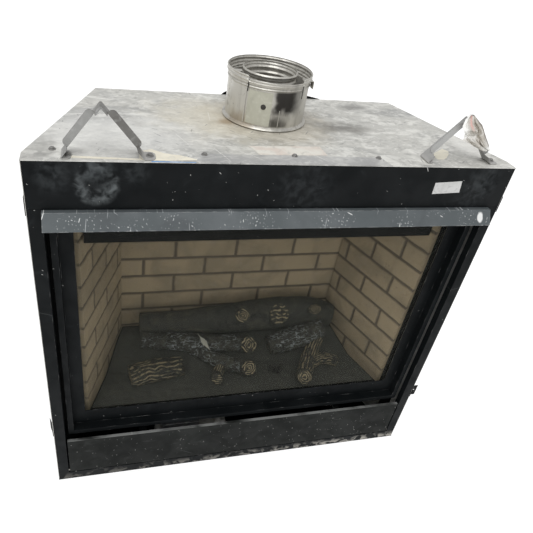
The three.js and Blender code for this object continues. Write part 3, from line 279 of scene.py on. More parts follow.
def make_specks():
    """Mask of small ragged spots: in a share of random cells, the places nearer than Size to the cell's own
    point."""
    inputs = {"Place": (0, 0, 0), "Scale": 100.0, "Size": 0.2, "Share": 0.3}
    group, given, out = new_group("Specks", inputs, "Mask")
    moved = frayed(group, given["Place"], 260.0, 2.0, 0.006)
    cells = put(group, "TexVoronoi", {"Vector": moved, "Scale": given["Scale"]}).outputs
    pick = put(group, "SeparateColor", {0: cells["Color"]}).outputs
    some = sums(group, "LESS_THAN", pick[0], given["Share"])
    size = sums(group, "MULTIPLY", given["Size"], pick[1])
    spot = between(group, sums(group, "SUBTRACT", size, cells["Distance"]), 0.0, 0.04)
    group.links.new(sums(group, "MULTIPLY", spot, some), out["Mask"])
    return group


def make_scratches():
    """Mask of thin lines along the direction of least Stretch: where stretched noise crosses its middle."""
    inputs = {"Place": (0, 0, 0), "Stretch": (10, 10, 120), "Width": 0.01, "Low": 0.55, "High": 0.7}
    group, given, out = new_group("Scratches", inputs, "Mask")
    drawn = noise(group, vectors(group, "MULTIPLY", given["Place"], given["Stretch"]), 1.0, 1.0)["Fac"]
    away = sums(group, "ABSOLUTE", sums(group, "SUBTRACT", drawn, 0.5), 0.0)
    line = sums(group, "LESS_THAN", away, given["Width"])
    where = between(group, noise(group, given["Place"], 14.0, 3.0)["Fac"], given["Low"], given["High"])
    group.links.new(sums(group, "MULTIPLY", line, where), out["Mask"])
    return group


def make_flicks():
    """Mask of short marks in the plane of the first two axes: round each random point an ellipse of random
    length, width and direction."""
    inputs = {"Place": (0, 0, 0), "Scale": 40.0, "Length": 0.006, "Width": 0.0012, "Share": 0.5, "Turn": 0.0,
              "Spread": 3.1}
    group, given, out = new_group("Flicks", inputs, "Mask")
    moved = frayed(group, given["Place"], 500.0, 1.0, 0.0012)
    inputs = {"Vector": moved, "Scale": given["Scale"]}
    cells = put(group, "TexVoronoi", inputs, voronoi_dimensions="2D").outputs
    pick = put(group, "SeparateColor", {0: cells["Color"]}).outputs
    away = vectors(group, "SUBTRACT", moved, cells["Position"])
    lean = sums(group, "MULTIPLY", given["Spread"], sums(group, "SUBTRACT", pick[0], 0.5))
    angle = sums(group, "ADD", given["Turn"], lean)
    turned = put(group, "VectorRotate", {"Vector": away, "Angle": angle}, rotation_type="Z_AXIS")
    part = put(group, "SeparateXYZ", {0: turned.outputs[0]}).outputs
    size = sums(group, "POWER", pick[1], 2.0)
    length = sums(group, "MULTIPLY", given["Length"], sums(group, "ADD", size, 0.12))
    width = sums(group, "MULTIPLY", given["Width"], sums(group, "ADD", pick[1], 0.35))
    along = sums(group, "POWER", sums(group, "DIVIDE", part[0], length), 2.0)
    across = sums(group, "POWER", sums(group, "DIVIDE", part[1], width), 2.0)
    inside = between(group, sums(group, "ADD", along, across), 1.0, 0.5)
    some = sums(group, "LESS_THAN", pick[2], given["Share"])
    group.links.new(sums(group, "MULTIPLY", inside, some), out["Mask"])
    return group


def make_cracks():
    """Mask of a broken net of thin lines: the places nearer than Width to the border of a cell, frayed by
    noise. Other noise leaves parts of the net out."""
    group, given, out = new_group("Cracks", {"Place": (0, 0, 0), "Scale": 90.0, "Width": 0.1}, "Mask")
    moved = frayed(group, given["Place"], 55.0, 2.0, 0.016)
    cells = put(group, "TexVoronoi", {"Vector": moved, "Scale": given["Scale"]}, feature="DISTANCE_TO_EDGE")
    thin = sums(group, "MULTIPLY", given["Width"], 0.4)
    line = between(group, cells.outputs["Distance"], given["Width"], thin)
    where = between(group, noise(group, given["Place"], 95.0, 2.0)["Fac"], 0.42, 0.56)
    group.links.new(sums(group, "MULTIPLY", line, where), out["Mask"])
    return group


def make_edge_rub():
    """Mask of rubbed edges: how far the rounded normal leans from the face's own, broken up by noise."""
    inputs = {"Place": (0, 0, 0), "Radius": 0.002, "Scale": 40.0, "Wear": 0.5}
    group, given, out = new_group("Edge rub", inputs, "Mask")
    rounded = put(group, "Bevel", {"Radius": given["Radius"]}, samples=4).outputs[0]
    face = put(group, "NewGeometry").outputs["Normal"]
    lean = put(group, "VectorMath", {0: rounded, 1: face}, operation="DOT_PRODUCT").outputs["Value"]
    edge = between(group, lean, 0.995, 0.9)
    cloud = noise(group, given["Place"], given["Scale"], 5.0)["Fac"]
    broken = between(group, cloud, sums(group, "SUBTRACT", 1.0, given["Wear"]), 0.75)
    group.links.new(sums(group, "MULTIPLY", edge, broken), out["Mask"])
    return group


def make_spot():
    """Mask of one ragged patch: 1 within Reach of the Centre, fading over Edge, after noise moves the place.
    A larger number in Shape makes the patch narrower along that axis."""
    inputs = {"Place": (0, 0, 0), "Centre": (0, 0, 0), "Shape": (1, 1, 1), "Reach": 0.05, "Edge": 0.02,
              "Ragged": 0.02}
    group, given, out = new_group("Spot", inputs, "Mask")
    middle = vectors(group, "SUBTRACT", noise(group, given["Place"], 26.0, 5.0)["Color"], (0.5, 0.5, 0.5))
    moved = vectors(group, "ADD", given["Place"], vectors(group, "SCALE", middle, given["Ragged"]))
    away = vectors(group, "SUBTRACT", moved, given["Centre"])
    shaped = vectors(group, "MULTIPLY", away, given["Shape"])
    length = put(group, "VectorMath", {0: shaped}, operation="LENGTH").outputs["Value"]
    far = sums(group, "ADD", given["Reach"], given["Edge"])
    group.links.new(between(group, length, far, given["Reach"]), out["Mask"])
    return group


def make_grain():
    """Normal of a fine uneven surface: noise stretched by Stretch, as a bump Height metres high."""
    inputs = {"Place": (0, 0, 0), "Stretch": (100, 100, 100), "Detail": 3.0, "Height": 0.0003,
              "Strength": 0.5}
    group, given, out = new_group("Grain", inputs, "Normal", "NodeSocketVector")
    drawn = vectors(group, "MULTIPLY", given["Place"], given["Stretch"])
    relief = noise(group, drawn, 1.0, given["Detail"])["Fac"]
    bump = put(group, "Bump", {"Height": relief, "Distance": given["Height"], "Strength": given["Strength"]})
    group.links.new(bump.outputs[0], out["Normal"])
    return group


BLOTCHES = make_blotches()
SPECKS = make_specks()
SCRATCHES = make_scratches()
FLICKS = make_flicks()
CRACKS = make_cracks()
EDGE_RUB = make_edge_rub()
SPOT = make_spot()
GRAIN = make_grain()


class Finish:
    """A material under way: constants go on its shader at once, and layers are painted over its colour."""

    def __init__(self, name, colour, **constants):
        self.material = bpy.data.materials.new(name)
        self.material.use_nodes = True
        self.tree = self.material.node_tree
        self.shader = self.tree.nodes["Principled BSDF"]
        self.place = put(self.tree, "TexCoord").outputs["Object"]
        self.colour = (*colour, 1.0)
        self.shader.inputs["Base Color"].default_value = self.colour
        for label, value in constants.items():
            self.shader.inputs[label.replace("_", " ").title().replace("Ior", "IOR")].default_value = value

    def effect(self, group, **given):
        """The output of one of the shared groups, placed with these values."""
        node = self.tree.nodes.new("ShaderNodeGroup")
        node.node_tree = group
        given.setdefault("place", self.place)
        for label, value in given.items():
            socket = node.inputs[label.title()]
            if isinstance(value, bpy.types.NodeSocket):
                self.tree.links.new(value, socket)
            else:
                socket.default_value = value
        return node.outputs[0]

    def front_place(self):
        """The place as (X, Z, Y), for marks on surfaces that face the front."""
        part = put(self.tree, "SeparateXYZ", {0: self.place}).outputs
        return put(self.tree, "CombineXYZ", {0: part[0], 1: part[2], 2: part[1]}).outputs[0]

    def along(self, axis):
        """The place along one axis."""
        return put(self.tree, "SeparateXYZ", {0: self.place}).outputs[axis]

    def drawn_out(self, stretch):
        """The place with each axis multiplied: what is drawn there grows long along the smaller numbers."""
        return vectors(self.tree, "MULTIPLY", self.place, stretch)

    def attribute(self, label):
        """A number that the piece's corners carry."""
        return put(self.tree, "Attribute", attribute_name=label).outputs["Fac"]

    def both(self, first, second):
        """Where two masks meet: their product."""
        return sums(self.tree, "MULTIPLY", first, second)

    def paint(self, colour, mask, strength=1.0):
        """Lays a colour over what is there, as far as the mask goes."""
        if strength < 1.0:
            mask = self.both(mask, strength)
        mix = put(self.tree, "Mix", {0: mask, 6: self.colour, 7: (*colour, 1.0)}, data_type="RGBA")
        self.colour = mix.outputs[2]
        self.tree.links.new(self.colour, self.shader.inputs["Base Color"])

    def layer(self, colour, strength, group, **given):
        """Paints a colour through the mask of one of the shared groups."""
        self.paint(colour, self.effect(group, **given), strength)

    def vary(self, label, mask, low, high):
        """Runs a shader value from low to high with the mask."""
        ranged = put(self.tree, "MapRange", {"Value": mask, "To Min": low, "To Max": high})
        self.tree.links.new(ranged.outputs[0], self.shader.inputs[label])

    def bump(self, normal):
        """Gives the surface its fine relief."""
        self.tree.links.new(normal, self.shader.inputs["Normal"])


# Finishes


def galvanised_sheet(name, contrast, base=(0.57, 0.565, 0.53)):
    """Mottled zinc: swirled light and dark bloom, painted shade in pressed beads, scrapes, brown stains round
    the vent and soot smudges.
    """
    f = Finish(name, base, metallic=0.2)
    swirl = f.drawn_out((0.6, 1.0, 1.0))
    for tone, scale, low, high, strength in (((0.27, 0.275, 0.275), 9.0, 0.48, 0.70, 0.6),
                                             ((0.82, 0.815, 0.77), 20.0, 0.46, 0.66, 0.75),
                                             ((0.25, 0.25, 0.24), 52.0, 0.50, 0.70, 0.45),
                                             ((0.88, 0.87, 0.83), 90.0, 0.50, 0.68, 0.5)):
        f.layer(tone, strength * contrast, BLOTCHES, place=swirl, scale=scale, detail=8.0, twist=1.3, low=low,
                high=high)
    # Painted shade: the pressed beads of the back sheet are darkened by their share
    f.paint((0.25, 0.25, 0.24), f.attribute("pressed"), 0.4)
    f.layer((0.72, 0.67, 0.54), 0.55, SPOT, centre=(-0.17, 0.04, TOP), shape=(1.0, 0.9, 1.0), reach=0.02,
            edge=0.14, ragged=0.14)
    f.layer((0.84, 0.83, 0.79), 0.7, SPOT, centre=(0.475, -0.085, TOP), shape=(1.0, 0.6, 1.0), reach=0.01,
            edge=0.05, ragged=0.05)
    f.layer((0.80, 0.80, 0.775), 0.65, SPOT, centre=(-0.37, -0.07, TOP), shape=(0.8, 1.2, 1.0), reach=0.05,
            edge=0.14, ragged=0.13)
    crystals = put(f.tree, "TexVoronoi", {"Vector": f.place, "Scale": 150.0})
    tone = put(f.tree, "SeparateColor", {0: crystals.outputs["Color"]}).outputs[0]
    f.paint((0.36, 0.36, 0.35), tone, 0.15)
    vent_foot = (VENT_ACROSS, VENT_BACK - 0.03, TOP)
    f.layer((0.47, 0.40, 0.27), 0.4, SPOT, centre=vent_foot, reach=0.09, edge=0.10, ragged=0.12)
    f.layer((0.30, 0.20, 0.10), 0.6, SPOT, centre=(VENT_ACROSS - 0.1, VENT_BACK - 0.04, TOP), reach=0.006,
            edge=0.028, ragged=0.03)
    f.layer((0.13, 0.12, 0.105), 0.65, SPOT, centre=(0.17, 0.0, TOP), shape=(0.8, 1.9, 1.0), reach=0.015,
            edge=0.085, ragged=0.1)
    f.layer((0.15, 0.145, 0.14), 0.6, SPOT, centre=(0.27, 0.15, TOP), shape=(1.0, 1.5, 1.0), reach=0.01,
            edge=0.06, ragged=0.06)
    f.layer((0.19, 0.185, 0.175), 0.6, BLOTCHES, scale=3.4, detail=8.0, twist=0.8, low=0.6, high=0.8)
    f.layer((0.86, 0.85, 0.82), 0.5, FLICKS, scale=14.0, length=0.06, width=0.0010, share=0.3, turn=0.5,
            spread=2.4)
    f.layer((0.16, 0.16, 0.16), 0.6, FLICKS, scale=30.0, length=0.012, width=0.0010, share=0.25)
    f.vary("Roughness", f.effect(BLOTCHES, scale=15.0, detail=6.0, low=0.35, high=0.7), 0.4, 0.65)
    f.bump(f.effect(GRAIN, stretch=(9, 9, 9), detail=4.0, height=0.004, strength=0.25))
    return f.material


def black_paint(name, base, chalk=0.45, marks=0.3, smudge=False, worn_foot=False, lip_highlight_height=0.0):
    """Satin black over sheet: chalky dust, long fine scratches, white flicks and pale rubbed edges. Smudge
    adds a rubbed ring and hazes on the header, worn_foot bare metal near the floor, and the last argument, a
    height, a pale line just below it: a painted highlight on the panel's top edge, with scuffed paint."""
    f = Finish(name, base, specular_ior_level=0.12)
    front = f.front_place()
    dust = tuple(0.005 + 1.6 * c for c in base)
    f.layer(dust, chalk, BLOTCHES, scale=9.0, detail=8.0, twist=0.4, low=0.42, high=0.75)
    f.layer(tuple(2.2 * c for c in dust), chalk, BLOTCHES, scale=26.0, detail=8.0, twist=0.6, low=0.58,
            high=0.85)
    if smudge:
        fine = f.effect(BLOTCHES, scale=55.0, detail=10.0, twist=0.4, low=0.33, high=0.72)
        around = f.effect(SPOT, centre=(-0.401, FACE, 0.951), shape=(1.0, 0.3, 1.0), reach=0.034,
                          edge=0.014, ragged=0.012)
        hollow = f.effect(SPOT, centre=(-0.403, FACE, 0.964), shape=(0.9, 0.3, 1.0), reach=0.008, edge=0.030,
                          ragged=0.014)
        ring = f.both(around, sums(f.tree, "SUBTRACT", 1.0, f.both(hollow, 0.9)))
        f.paint((0.15, 0.165, 0.17), f.both(ring, fine), 0.7)
        for x, z, reach, strength in ((-0.401, 0.990, 0.026, 0.7), (-0.48, 0.972, 0.030, 0.35),
                                      (0.46, 0.972, 0.035, 0.3), (0.44, 0.925, 0.035, 0.2),
                                      (-0.33, 0.98, 0.022, 0.3), (0.02, 0.945, 0.05, 0.2)):
            haze = f.effect(SPOT, centre=(x, FACE, z), shape=(1.0, 0.3, 1.0), reach=reach * 0.2,
                            edge=reach * 1.6, ragged=0.02)
            f.paint((0.085, 0.095, 0.10), f.both(haze, fine), strength)
    if worn_foot:
        height = f.along("Z")
        low = between(f.tree, height, 0.034, 0.004)
        across = between(f.tree, f.along("X"), -0.5, 0.5, 0.25, 1.0)
        torn = f.effect(BLOTCHES, scale=40.0, detail=8.0, twist=0.8, low=0.46, high=0.6)
        worn = f.both(f.both(low, across), torn)
        f.paint((0.42, 0.40, 0.36), worn, 0.8)
    # Painted highlight with scuffed paint: a pale line just below the panel's top edge
    if lip_highlight_height:
        height = f.along("Z")
        patchy = f.effect(BLOTCHES, scale=12.0, detail=6.0, low=0.3, high=0.55)
        lip_highlight = f.both(between(f.tree, height, lip_highlight_height - 0.0013, lip_highlight_height - 0.0004), patchy)
        f.paint((0.22, 0.225, 0.22), lip_highlight, 0.85)
    f.layer((0.14, 0.145, 0.145), 0.4, FLICKS, place=front, scale=12.0, length=0.05, width=0.0006,
            share=marks * 0.7, spread=1.2)
    f.layer((0.52, 0.52, 0.50), 0.75, FLICKS, place=front, scale=26.0, length=0.009, width=0.0008,
            share=marks * 0.3)
    f.layer((0.45, 0.45, 0.43), 0.7, FLICKS, place=front, scale=90.0, length=0.0022, width=0.0007,
            share=marks * 0.3)
    f.layer((0.26, 0.26, 0.255), 0.75, EDGE_RUB, radius=0.0018, scale=40.0, wear=0.5)
    f.vary("Roughness", f.effect(BLOTCHES, scale=20.0, detail=6.0, low=0.35, high=0.7), 0.5, 0.7)
    f.bump(f.effect(GRAIN, stretch=(300, 300, 300), detail=2.0, height=0.0002, strength=0.2))
    return f.material


def hood_paint():
    """Grey hood: cloudy satin paint, white spatter and short flicks, and one thick blob at the right."""
    f = Finish("hood grey", (0.082, 0.095, 0.10), metallic=0.15)
    front = f.front_place()
    f.layer((0.135, 0.148, 0.156), 0.6, BLOTCHES, scale=8.0, detail=8.0, twist=0.6, low=0.42, high=0.72)
    f.layer((0.055, 0.06, 0.065), 0.6, BLOTCHES, scale=14.0, detail=8.0, twist=0.6, low=0.52, high=0.8)
    spatter = f.effect(FLICKS, place=front, scale=150.0, length=0.0021, width=0.0007, share=0.75)
    clusters = f.effect(BLOTCHES, scale=13.0, detail=4.0, low=0.47, high=0.58)
    f.paint((0.66, 0.68, 0.68), f.both(spatter, clusters), 0.75)
    f.layer((0.74, 0.75, 0.74), 0.85, FLICKS, place=front, scale=30.0, length=0.011, width=0.0009, share=0.28,
            turn=1.1, spread=1.8)
    f.layer((0.42, 0.44, 0.45), 0.6, FLICKS, place=front, scale=24.0, length=0.024, width=0.0007, share=0.5,
            turn=1.2, spread=1.6)
    f.layer((0.75, 0.76, 0.75), 1.0, SPOT, centre=(0.476, -0.222, 0.884), shape=(1.2, 0.3, 0.65), reach=0.005,
            edge=0.004, ragged=0.02)
    f.layer((0.5, 0.51, 0.5), 0.9, EDGE_RUB, radius=0.0024, scale=60.0, wear=0.6)
    f.vary("Roughness", f.effect(BLOTCHES, scale=20.0, low=0.35, high=0.7), 0.42, 0.62)
    f.bump(f.effect(GRAIN, stretch=(20, 500, 500), detail=2.0, height=0.0002, strength=0.3))
    return f.material


def strap_zinc():
    """Dull zinc strap: soft grey bloom, painted shade on the left strap's right leg and a painted highlight
    on the right strap's left leg, pale feet and dark cut edges."""
    f = Finish("strap zinc", (0.30, 0.30, 0.29), metallic=0.4)
    f.layer((0.17, 0.165, 0.155), 0.75, BLOTCHES, scale=11.0, detail=8.0, twist=0.8, low=0.42, high=0.66)
    # Painted shade on the right leg of the left strap, which faces away from the light
    f.layer((0.10, 0.095, 0.085), 0.6, SPOT, centre=(-0.345, -0.178, TOP + 0.05), reach=0.035, edge=0.02,
            ragged=0.02)
    # Painted highlight on the left leg of the right strap, which faces the light
    f.layer((0.46, 0.46, 0.45), 0.7, SPOT, centre=(0.345, -0.170, TOP + 0.045), reach=0.04, edge=0.03,
            ragged=0.03)
    f.layer((0.50, 0.50, 0.49), 0.5, BLOTCHES, scale=60.0, detail=6.0, twist=0.8, low=0.5, high=0.8)
    height = f.along("Z")
    f.paint((0.48, 0.475, 0.46), between(f.tree, height, TOP + 0.012, TOP + 0.004), 0.8)
    f.layer((0.07, 0.07, 0.075), 0.8, EDGE_RUB, radius=0.0012, scale=60.0, wear=0.7)
    f.vary("Roughness", f.effect(BLOTCHES, scale=40.0, low=0.35, high=0.7), 0.45, 0.65)
    f.bump(f.effect(GRAIN, stretch=(500, 500, 500), detail=2.0, height=0.0002, strength=0.3))
    return f.material


def stainless_steel(name="stainless steel", sooty=False):
    """Drawn stainless: upright streaks, light and dark, and on the vent soot and a patch of brown heat
    bloom."""
    f = Finish(name, (0.56, 0.545, 0.50), metallic=0.65)
    streak = f.drawn_out((70.0, 70.0, 4.0))
    f.layer((0.27, 0.26, 0.235), 0.5, BLOTCHES, place=streak, scale=1.0, detail=6.0, low=0.46, high=0.7)
    f.layer((0.62, 0.61, 0.575), 0.5, BLOTCHES, scale=24.0, detail=7.0, twist=1.0, low=0.5, high=0.72)
    f.layer((0.20, 0.185, 0.16), 0.5, BLOTCHES, scale=50.0, detail=8.0, twist=1.0, low=0.55, high=0.75)
    if sooty:
        f.paint((0.014, 0.012, 0.010), f.attribute("soot"), 0.97)
        f.layer((0.27, 0.20, 0.11), 0.5, SPOT, centre=(VENT_ACROSS - 0.08, VENT_BACK - 0.06, TOP), reach=0.02,
                edge=0.03, ragged=0.04)
    f.layer((0.09, 0.085, 0.075), 0.7, SPECKS, scale=140.0, size=0.22, share=0.14)
    dull = f.effect(BLOTCHES, place=streak, scale=0.7, detail=5.0, low=0.35, high=0.7)
    f.vary("Roughness", dull, 0.32, 0.5)
    f.bump(f.effect(GRAIN, stretch=(420, 420, 20), detail=2.0, height=0.00015, strength=0.3))
    return f.material


def crumpled_foil():
    """Bright wrap in broad folds: grey-brown mottling, painted shade in brown along the folds and its right
    edge, a white painted highlight where it lies flat, and one pink streak.
    """
    f = Finish("crumpled foil", (0.66, 0.64, 0.60), metallic=0.55)
    f.layer((0.36, 0.32, 0.26), 0.6, BLOTCHES, scale=22.0, detail=3.0, twist=0.6, low=0.48, high=0.66)
    # Painted shade in the folds and along the right edge
    f.paint((0.11, 0.075, 0.05), f.attribute("fold"), 0.85)
    f.paint((0.70, 0.40, 0.36), f.attribute("pink"), 0.85)
    # Painted highlight where the wrap lies flat
    f.paint((0.92, 0.915, 0.89), f.attribute("flat"), 0.95)
    f.vary("Roughness", f.effect(BLOTCHES, scale=50.0, low=0.35, high=0.7), 0.18, 0.4)
    f.bump(f.effect(GRAIN, stretch=(60, 60, 60), detail=3.0, height=0.0015, strength=0.4))
    return f.material


def brick_fibre():
    """Tan fibre bricks, each a little different, pitted and sooted, with dark recessed mortar."""
    f = Finish("brick fibre", (0.53, 0.43, 0.27), roughness=0.92)
    f.layer((0.31, 0.255, 0.165), 0.7, BLOTCHES, scale=10.0, detail=10.0, twist=1.0, low=0.4, high=0.7)
    f.layer((0.46, 0.39, 0.29), 0.5, BLOTCHES, scale=28.0, detail=9.0, twist=1.5, low=0.5, high=0.75)
    f.paint((0.27, 0.22, 0.14), f.attribute("tone"), 0.6)
    f.layer((0.16, 0.13, 0.1), 0.45, SPECKS, scale=110.0, size=0.3, share=0.35)
    f.paint((0.125, 0.103, 0.075), f.attribute("mortar"), 0.92)
    f.layer((0.07, 0.06, 0.05), 0.4, BLOTCHES, scale=2.6, detail=6.0, twist=0.5, low=0.55, high=0.8)
    f.bump(f.effect(GRAIN, stretch=(180, 180, 180), detail=6.0, height=0.0012, strength=0.6))
    return f.material


def log_fibre(name, line_colour, ash=False):
    """Charred fibre: near-black greenish grey, with the raised grain brushed tan or ash grey."""
    f = Finish(name, (0.043, 0.044, 0.036), roughness=0.93)
    f.layer((0.07, 0.068, 0.050), 0.8, BLOTCHES, scale=22.0, detail=3.0, twist=1.0, low=0.42, high=0.7)
    f.layer((0.012, 0.012, 0.011), 0.7, BLOTCHES, scale=60.0, detail=2.0, twist=1.0, low=0.5, high=0.75)
    broken = f.effect(BLOTCHES, scale=45.0, detail=5.0, twist=0.8, low=0.34, high=0.52)
    f.paint(line_colour, f.both(f.attribute("brushed"), broken), 0.95)
    if ash:
        drawn = f.drawn_out((0.5, 1.0, 1.0))
        net = f.effect(CRACKS, place=drawn, scale=120.0, width=0.10)
        f.paint((0.25, 0.27, 0.27), f.both(f.attribute("ashed"), net), 0.95)
    f.bump(f.effect(GRAIN, stretch=(90, 90, 90), detail=2.0, height=0.0008, strength=0.2))
    return f.material


def ember_wool():
    """Dark mineral wool with a few paler tufts."""
    f = Finish("ember wool", (0.054, 0.056, 0.046), roughness=0.95)
    f.layer((0.075, 0.075, 0.060), 0.8, BLOTCHES, scale=30.0, detail=3.0, twist=1.5, low=0.45, high=0.75)
    f.layer((0.2, 0.19, 0.15), 0.6, SPECKS, scale=130.0, size=0.28, share=0.08)
    f.bump(f.effect(GRAIN, stretch=(45, 45, 45), detail=1.0, height=0.001, strength=0.2))
    return f.material


def smoked_glass():
    """Smoked ceramic pane with a film of dust, thicker in patches, that dulls its shine."""
    f = Finish("smoked glass", (0.022, 0.0235, 0.019), alpha=0.16, specular_ior_level=0.1)
    f.layer((0.048, 0.048, 0.040), 0.6, BLOTCHES, scale=5.0, detail=8.0, twist=1.0, low=0.45, high=0.8)
    f.vary("Roughness", f.effect(BLOTCHES, scale=9.0, detail=8.0, twist=1.0, low=0.4, high=0.75), 0.16, 0.4)
    return f.material


def rope_weave():
    """Grey woven rope: crossing diagonal strands in the colour and the bump."""
    f = Finish("woven rope", (0.30, 0.295, 0.27), roughness=0.95)
    f.layer((0.10, 0.1, 0.09), 0.6, SCRATCHES, stretch=(700, 200, 700), width=0.08, low=0.1, high=0.2)
    f.layer((0.16, 0.15, 0.13), 0.6, BLOTCHES, scale=30.0, low=0.45, high=0.7)
    f.bump(f.effect(GRAIN, stretch=(900, 900, 900), detail=2.0, height=0.0008, strength=0.7))
    return f.material


def machined(name, colour, dark, metallic, rough_low, rough_high):
    """Turned or cast metal: cloudy tarnish, fine tool lines and bright edges."""
    f = Finish(name, colour, metallic=metallic)
    f.layer(dark, 0.7, BLOTCHES, scale=45.0, detail=7.0, twist=1.0, low=0.42, high=0.7)
    f.layer(tuple(min(1.0, c * 1.5) for c in colour), 0.7, EDGE_RUB, radius=0.0008, scale=80.0, wear=0.6)
    f.vary("Roughness", f.effect(BLOTCHES, scale=60.0, low=0.35, high=0.7), rough_low, rough_high)
    f.bump(f.effect(GRAIN, stretch=(30, 600, 600), detail=2.0, height=0.0002, strength=0.35))
    return f.material


def moulded(name, colour, rough_low, rough_high):
    """Moulded plastic or dipped coating: a fine grained skin, dust in patches and paler rubbed edges."""
    f = Finish(name, colour)
    f.layer(tuple(min(1.0, c * 0.6 + 0.05) for c in colour), 0.6, BLOTCHES, scale=70.0, low=0.5, high=0.75)
    f.layer(tuple(min(1.0, c * 0.7 + 0.2) for c in colour), 0.6, EDGE_RUB, radius=0.0008, scale=90.0,
            wear=0.55)
    f.vary("Roughness", f.effect(BLOTCHES, scale=90.0, low=0.35, high=0.7), rough_low, rough_high)
    f.bump(f.effect(GRAIN, stretch=(1200, 1200, 1200), detail=1.0, height=0.0001, strength=0.5))
    return f.material


def old_paper(name, colour, faded, stain):
    """Paper or tape, all bare: uneven fading, stains and grey scuffs."""
    f = Finish(name, colour, roughness=0.8)
    f.layer(faded, 0.7, BLOTCHES, scale=20.0, detail=6.0, twist=1.0, low=0.42, high=0.7)
    f.layer(stain, 0.6, BLOTCHES, scale=50.0, detail=6.0, twist=2.0, low=0.5, high=0.75)
    f.bump(f.effect(GRAIN, stretch=(500, 500, 500), height=0.0001, strength=0.3))
    return f.material


GALVANISED = galvanised_sheet("galvanised sheet", 1.0)
PLAIN_SHEET = galvanised_sheet("plain galvanised sheet", 0.5)
LAP_SHEET = galvanised_sheet("lap strip sheet", 0.5, (0.43, 0.43, 0.425))
BLACK_FACING = black_paint("black facing", (0.0028, 0.0039, 0.0045), chalk=0.5, marks=0.13, smudge=True,
                           worn_foot=True)
BLACK_PANEL = black_paint("black panel", (0.0058, 0.0070, 0.0062), chalk=0.8, marks=0.6,
                          lip_highlight_height=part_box("access_panel")[1].z)
BLACK_STEEL = black_paint("black steel", (0.0016, 0.0022, 0.0024), chalk=0.2, marks=0.06)
HOOD = hood_paint()
STRAP = strap_zinc()
STAINLESS = stainless_steel()
VENT_STEEL = stainless_steel("vent steel", sooty=True)
BRICK = brick_fibre()
LOG_TAN = log_fibre("log brushed tan", (0.36, 0.30, 0.18))
LOG_ASH = log_fibre("log charred ash", (0.26, 0.215, 0.14), ash=True)
EMBER = ember_wool()
GLASS = smoked_glass()
ROPE = rope_weave()
SOOTED = machined("sooted steel", (0.055, 0.052, 0.046), (0.02, 0.02, 0.018), 0.4, 0.5, 0.7)
SCREW = machined("screw zinc", (0.26, 0.255, 0.245), (0.06, 0.06, 0.055), 0.6, 0.3, 0.5)
BRASS = machined("machined brass", (0.55, 0.38, 0.13), (0.25, 0.17, 0.06), 0.95, 0.22, 0.42)
CAST = machined("cast alloy", (0.38, 0.385, 0.39), (0.2, 0.2, 0.2), 0.85, 0.35, 0.55)
KNOB = moulded("knob black", (0.012, 0.012, 0.012), 0.35, 0.55)
BUTTON = moulded("button red", (0.35, 0.02, 0.012), 0.25, 0.45)
COATING = moulded("yellow coating", (0.52, 0.34, 0.03), 0.35, 0.55)
PAPER = old_paper("pale paper", (0.70, 0.68, 0.62), (0.62, 0.53, 0.47), (0.48, 0.47, 0.43))
TAPE = old_paper("cream tape", (0.80, 0.76, 0.64), (0.70, 0.66, 0.55), (0.56, 0.55, 0.51))
BLUE_TAPE = old_paper("blue tape", (0.16, 0.33, 0.62), (0.35, 0.48, 0.68), (0.50, 0.55, 0.60))
STICKER = old_paper("white sticker", (0.58, 0.58, 0.57), (0.46, 0.46, 0.45), (0.36, 0.36, 0.36))
VENT_LABEL = old_paper("vent label", (0.47, 0.465, 0.385), (0.37, 0.365, 0.30), (0.56, 0.555, 0.48))
FOIL = crumpled_foil()

FINISH_OF_SLOT = {
    "galvanised": GALVANISED,
    "black_paint": BLACK_FACING,
    "black_steel": BLACK_STEEL,
    "hood_grey": HOOD,
    "strap_steel": STRAP,
    "stainless": STAINLESS,
    "brick": BRICK,
    "log": LOG_TAN,
    "pane": GLASS,
    "rope": ROPE,
    "brass": BRASS,
    "cast_valve": CAST,
    "knob_black": KNOB,
    "button_red": BUTTON,
    "handle_yellow": COATING,
}

# Every CAD node keeps its shape and takes its slot's finish, or one of its own. The edges of those named
# here are softened by that width
slot_of = {part["node"]: part["material_slot"] for part in frame["record"]["subparts"]}
# The base pan takes black steel as painted shade: a dark sheet for the shade inside the control compartment
OWN_FINISH = {"access_panel": BLACK_PANEL, "pilot_assembly": SOOTED, "base_pan": BLACK_STEEL,
              "top_lap_strip": LAP_SHEET, "casing_left_side": PLAIN_SHEET, "casing_right_side": PLAIN_SHEET,
              "glass_latch_left": BLACK_STEEL, "glass_latch_right": BLACK_STEEL}
SOFT_EDGES = {
    "front_header": 0.0007, "front_post_left": 0.0006, "front_post_right": 0.0006, "base_strip": 0.0006,
    "hood": 0.0005, "upper_infill": 0.0005, "access_panel": 0.0006, "glass_frame": 0.0006,
    "nailing_tab_lower_left": 0.0004, "nailing_tab_lower_right": 0.0004, "nailing_tab_upper_left": 0.0004,
    "nailing_tab_upper_right": 0.0004, "control_bracket": 0.0005, "gas_valve": 0.0015,
    "gas_knob": 0.0012, "flame_knob": 0.001, "igniter_button": 0.001, "shutoff_valve": 0.0008,
    "shutoff_handle": 0.0008, "gas_inlet_pipe": 0.0008, "pilot_assembly": 0.0006, "glass_latch_left": 0.0005,
    "glass_latch_right": 0.0005, "lintel_baffle": 0.0005, "vent_spacer": 0.0004, "glass_pane": 0.0008,
    "casing_top": 0.0004, "top_lap_strip": 0.0003,
}
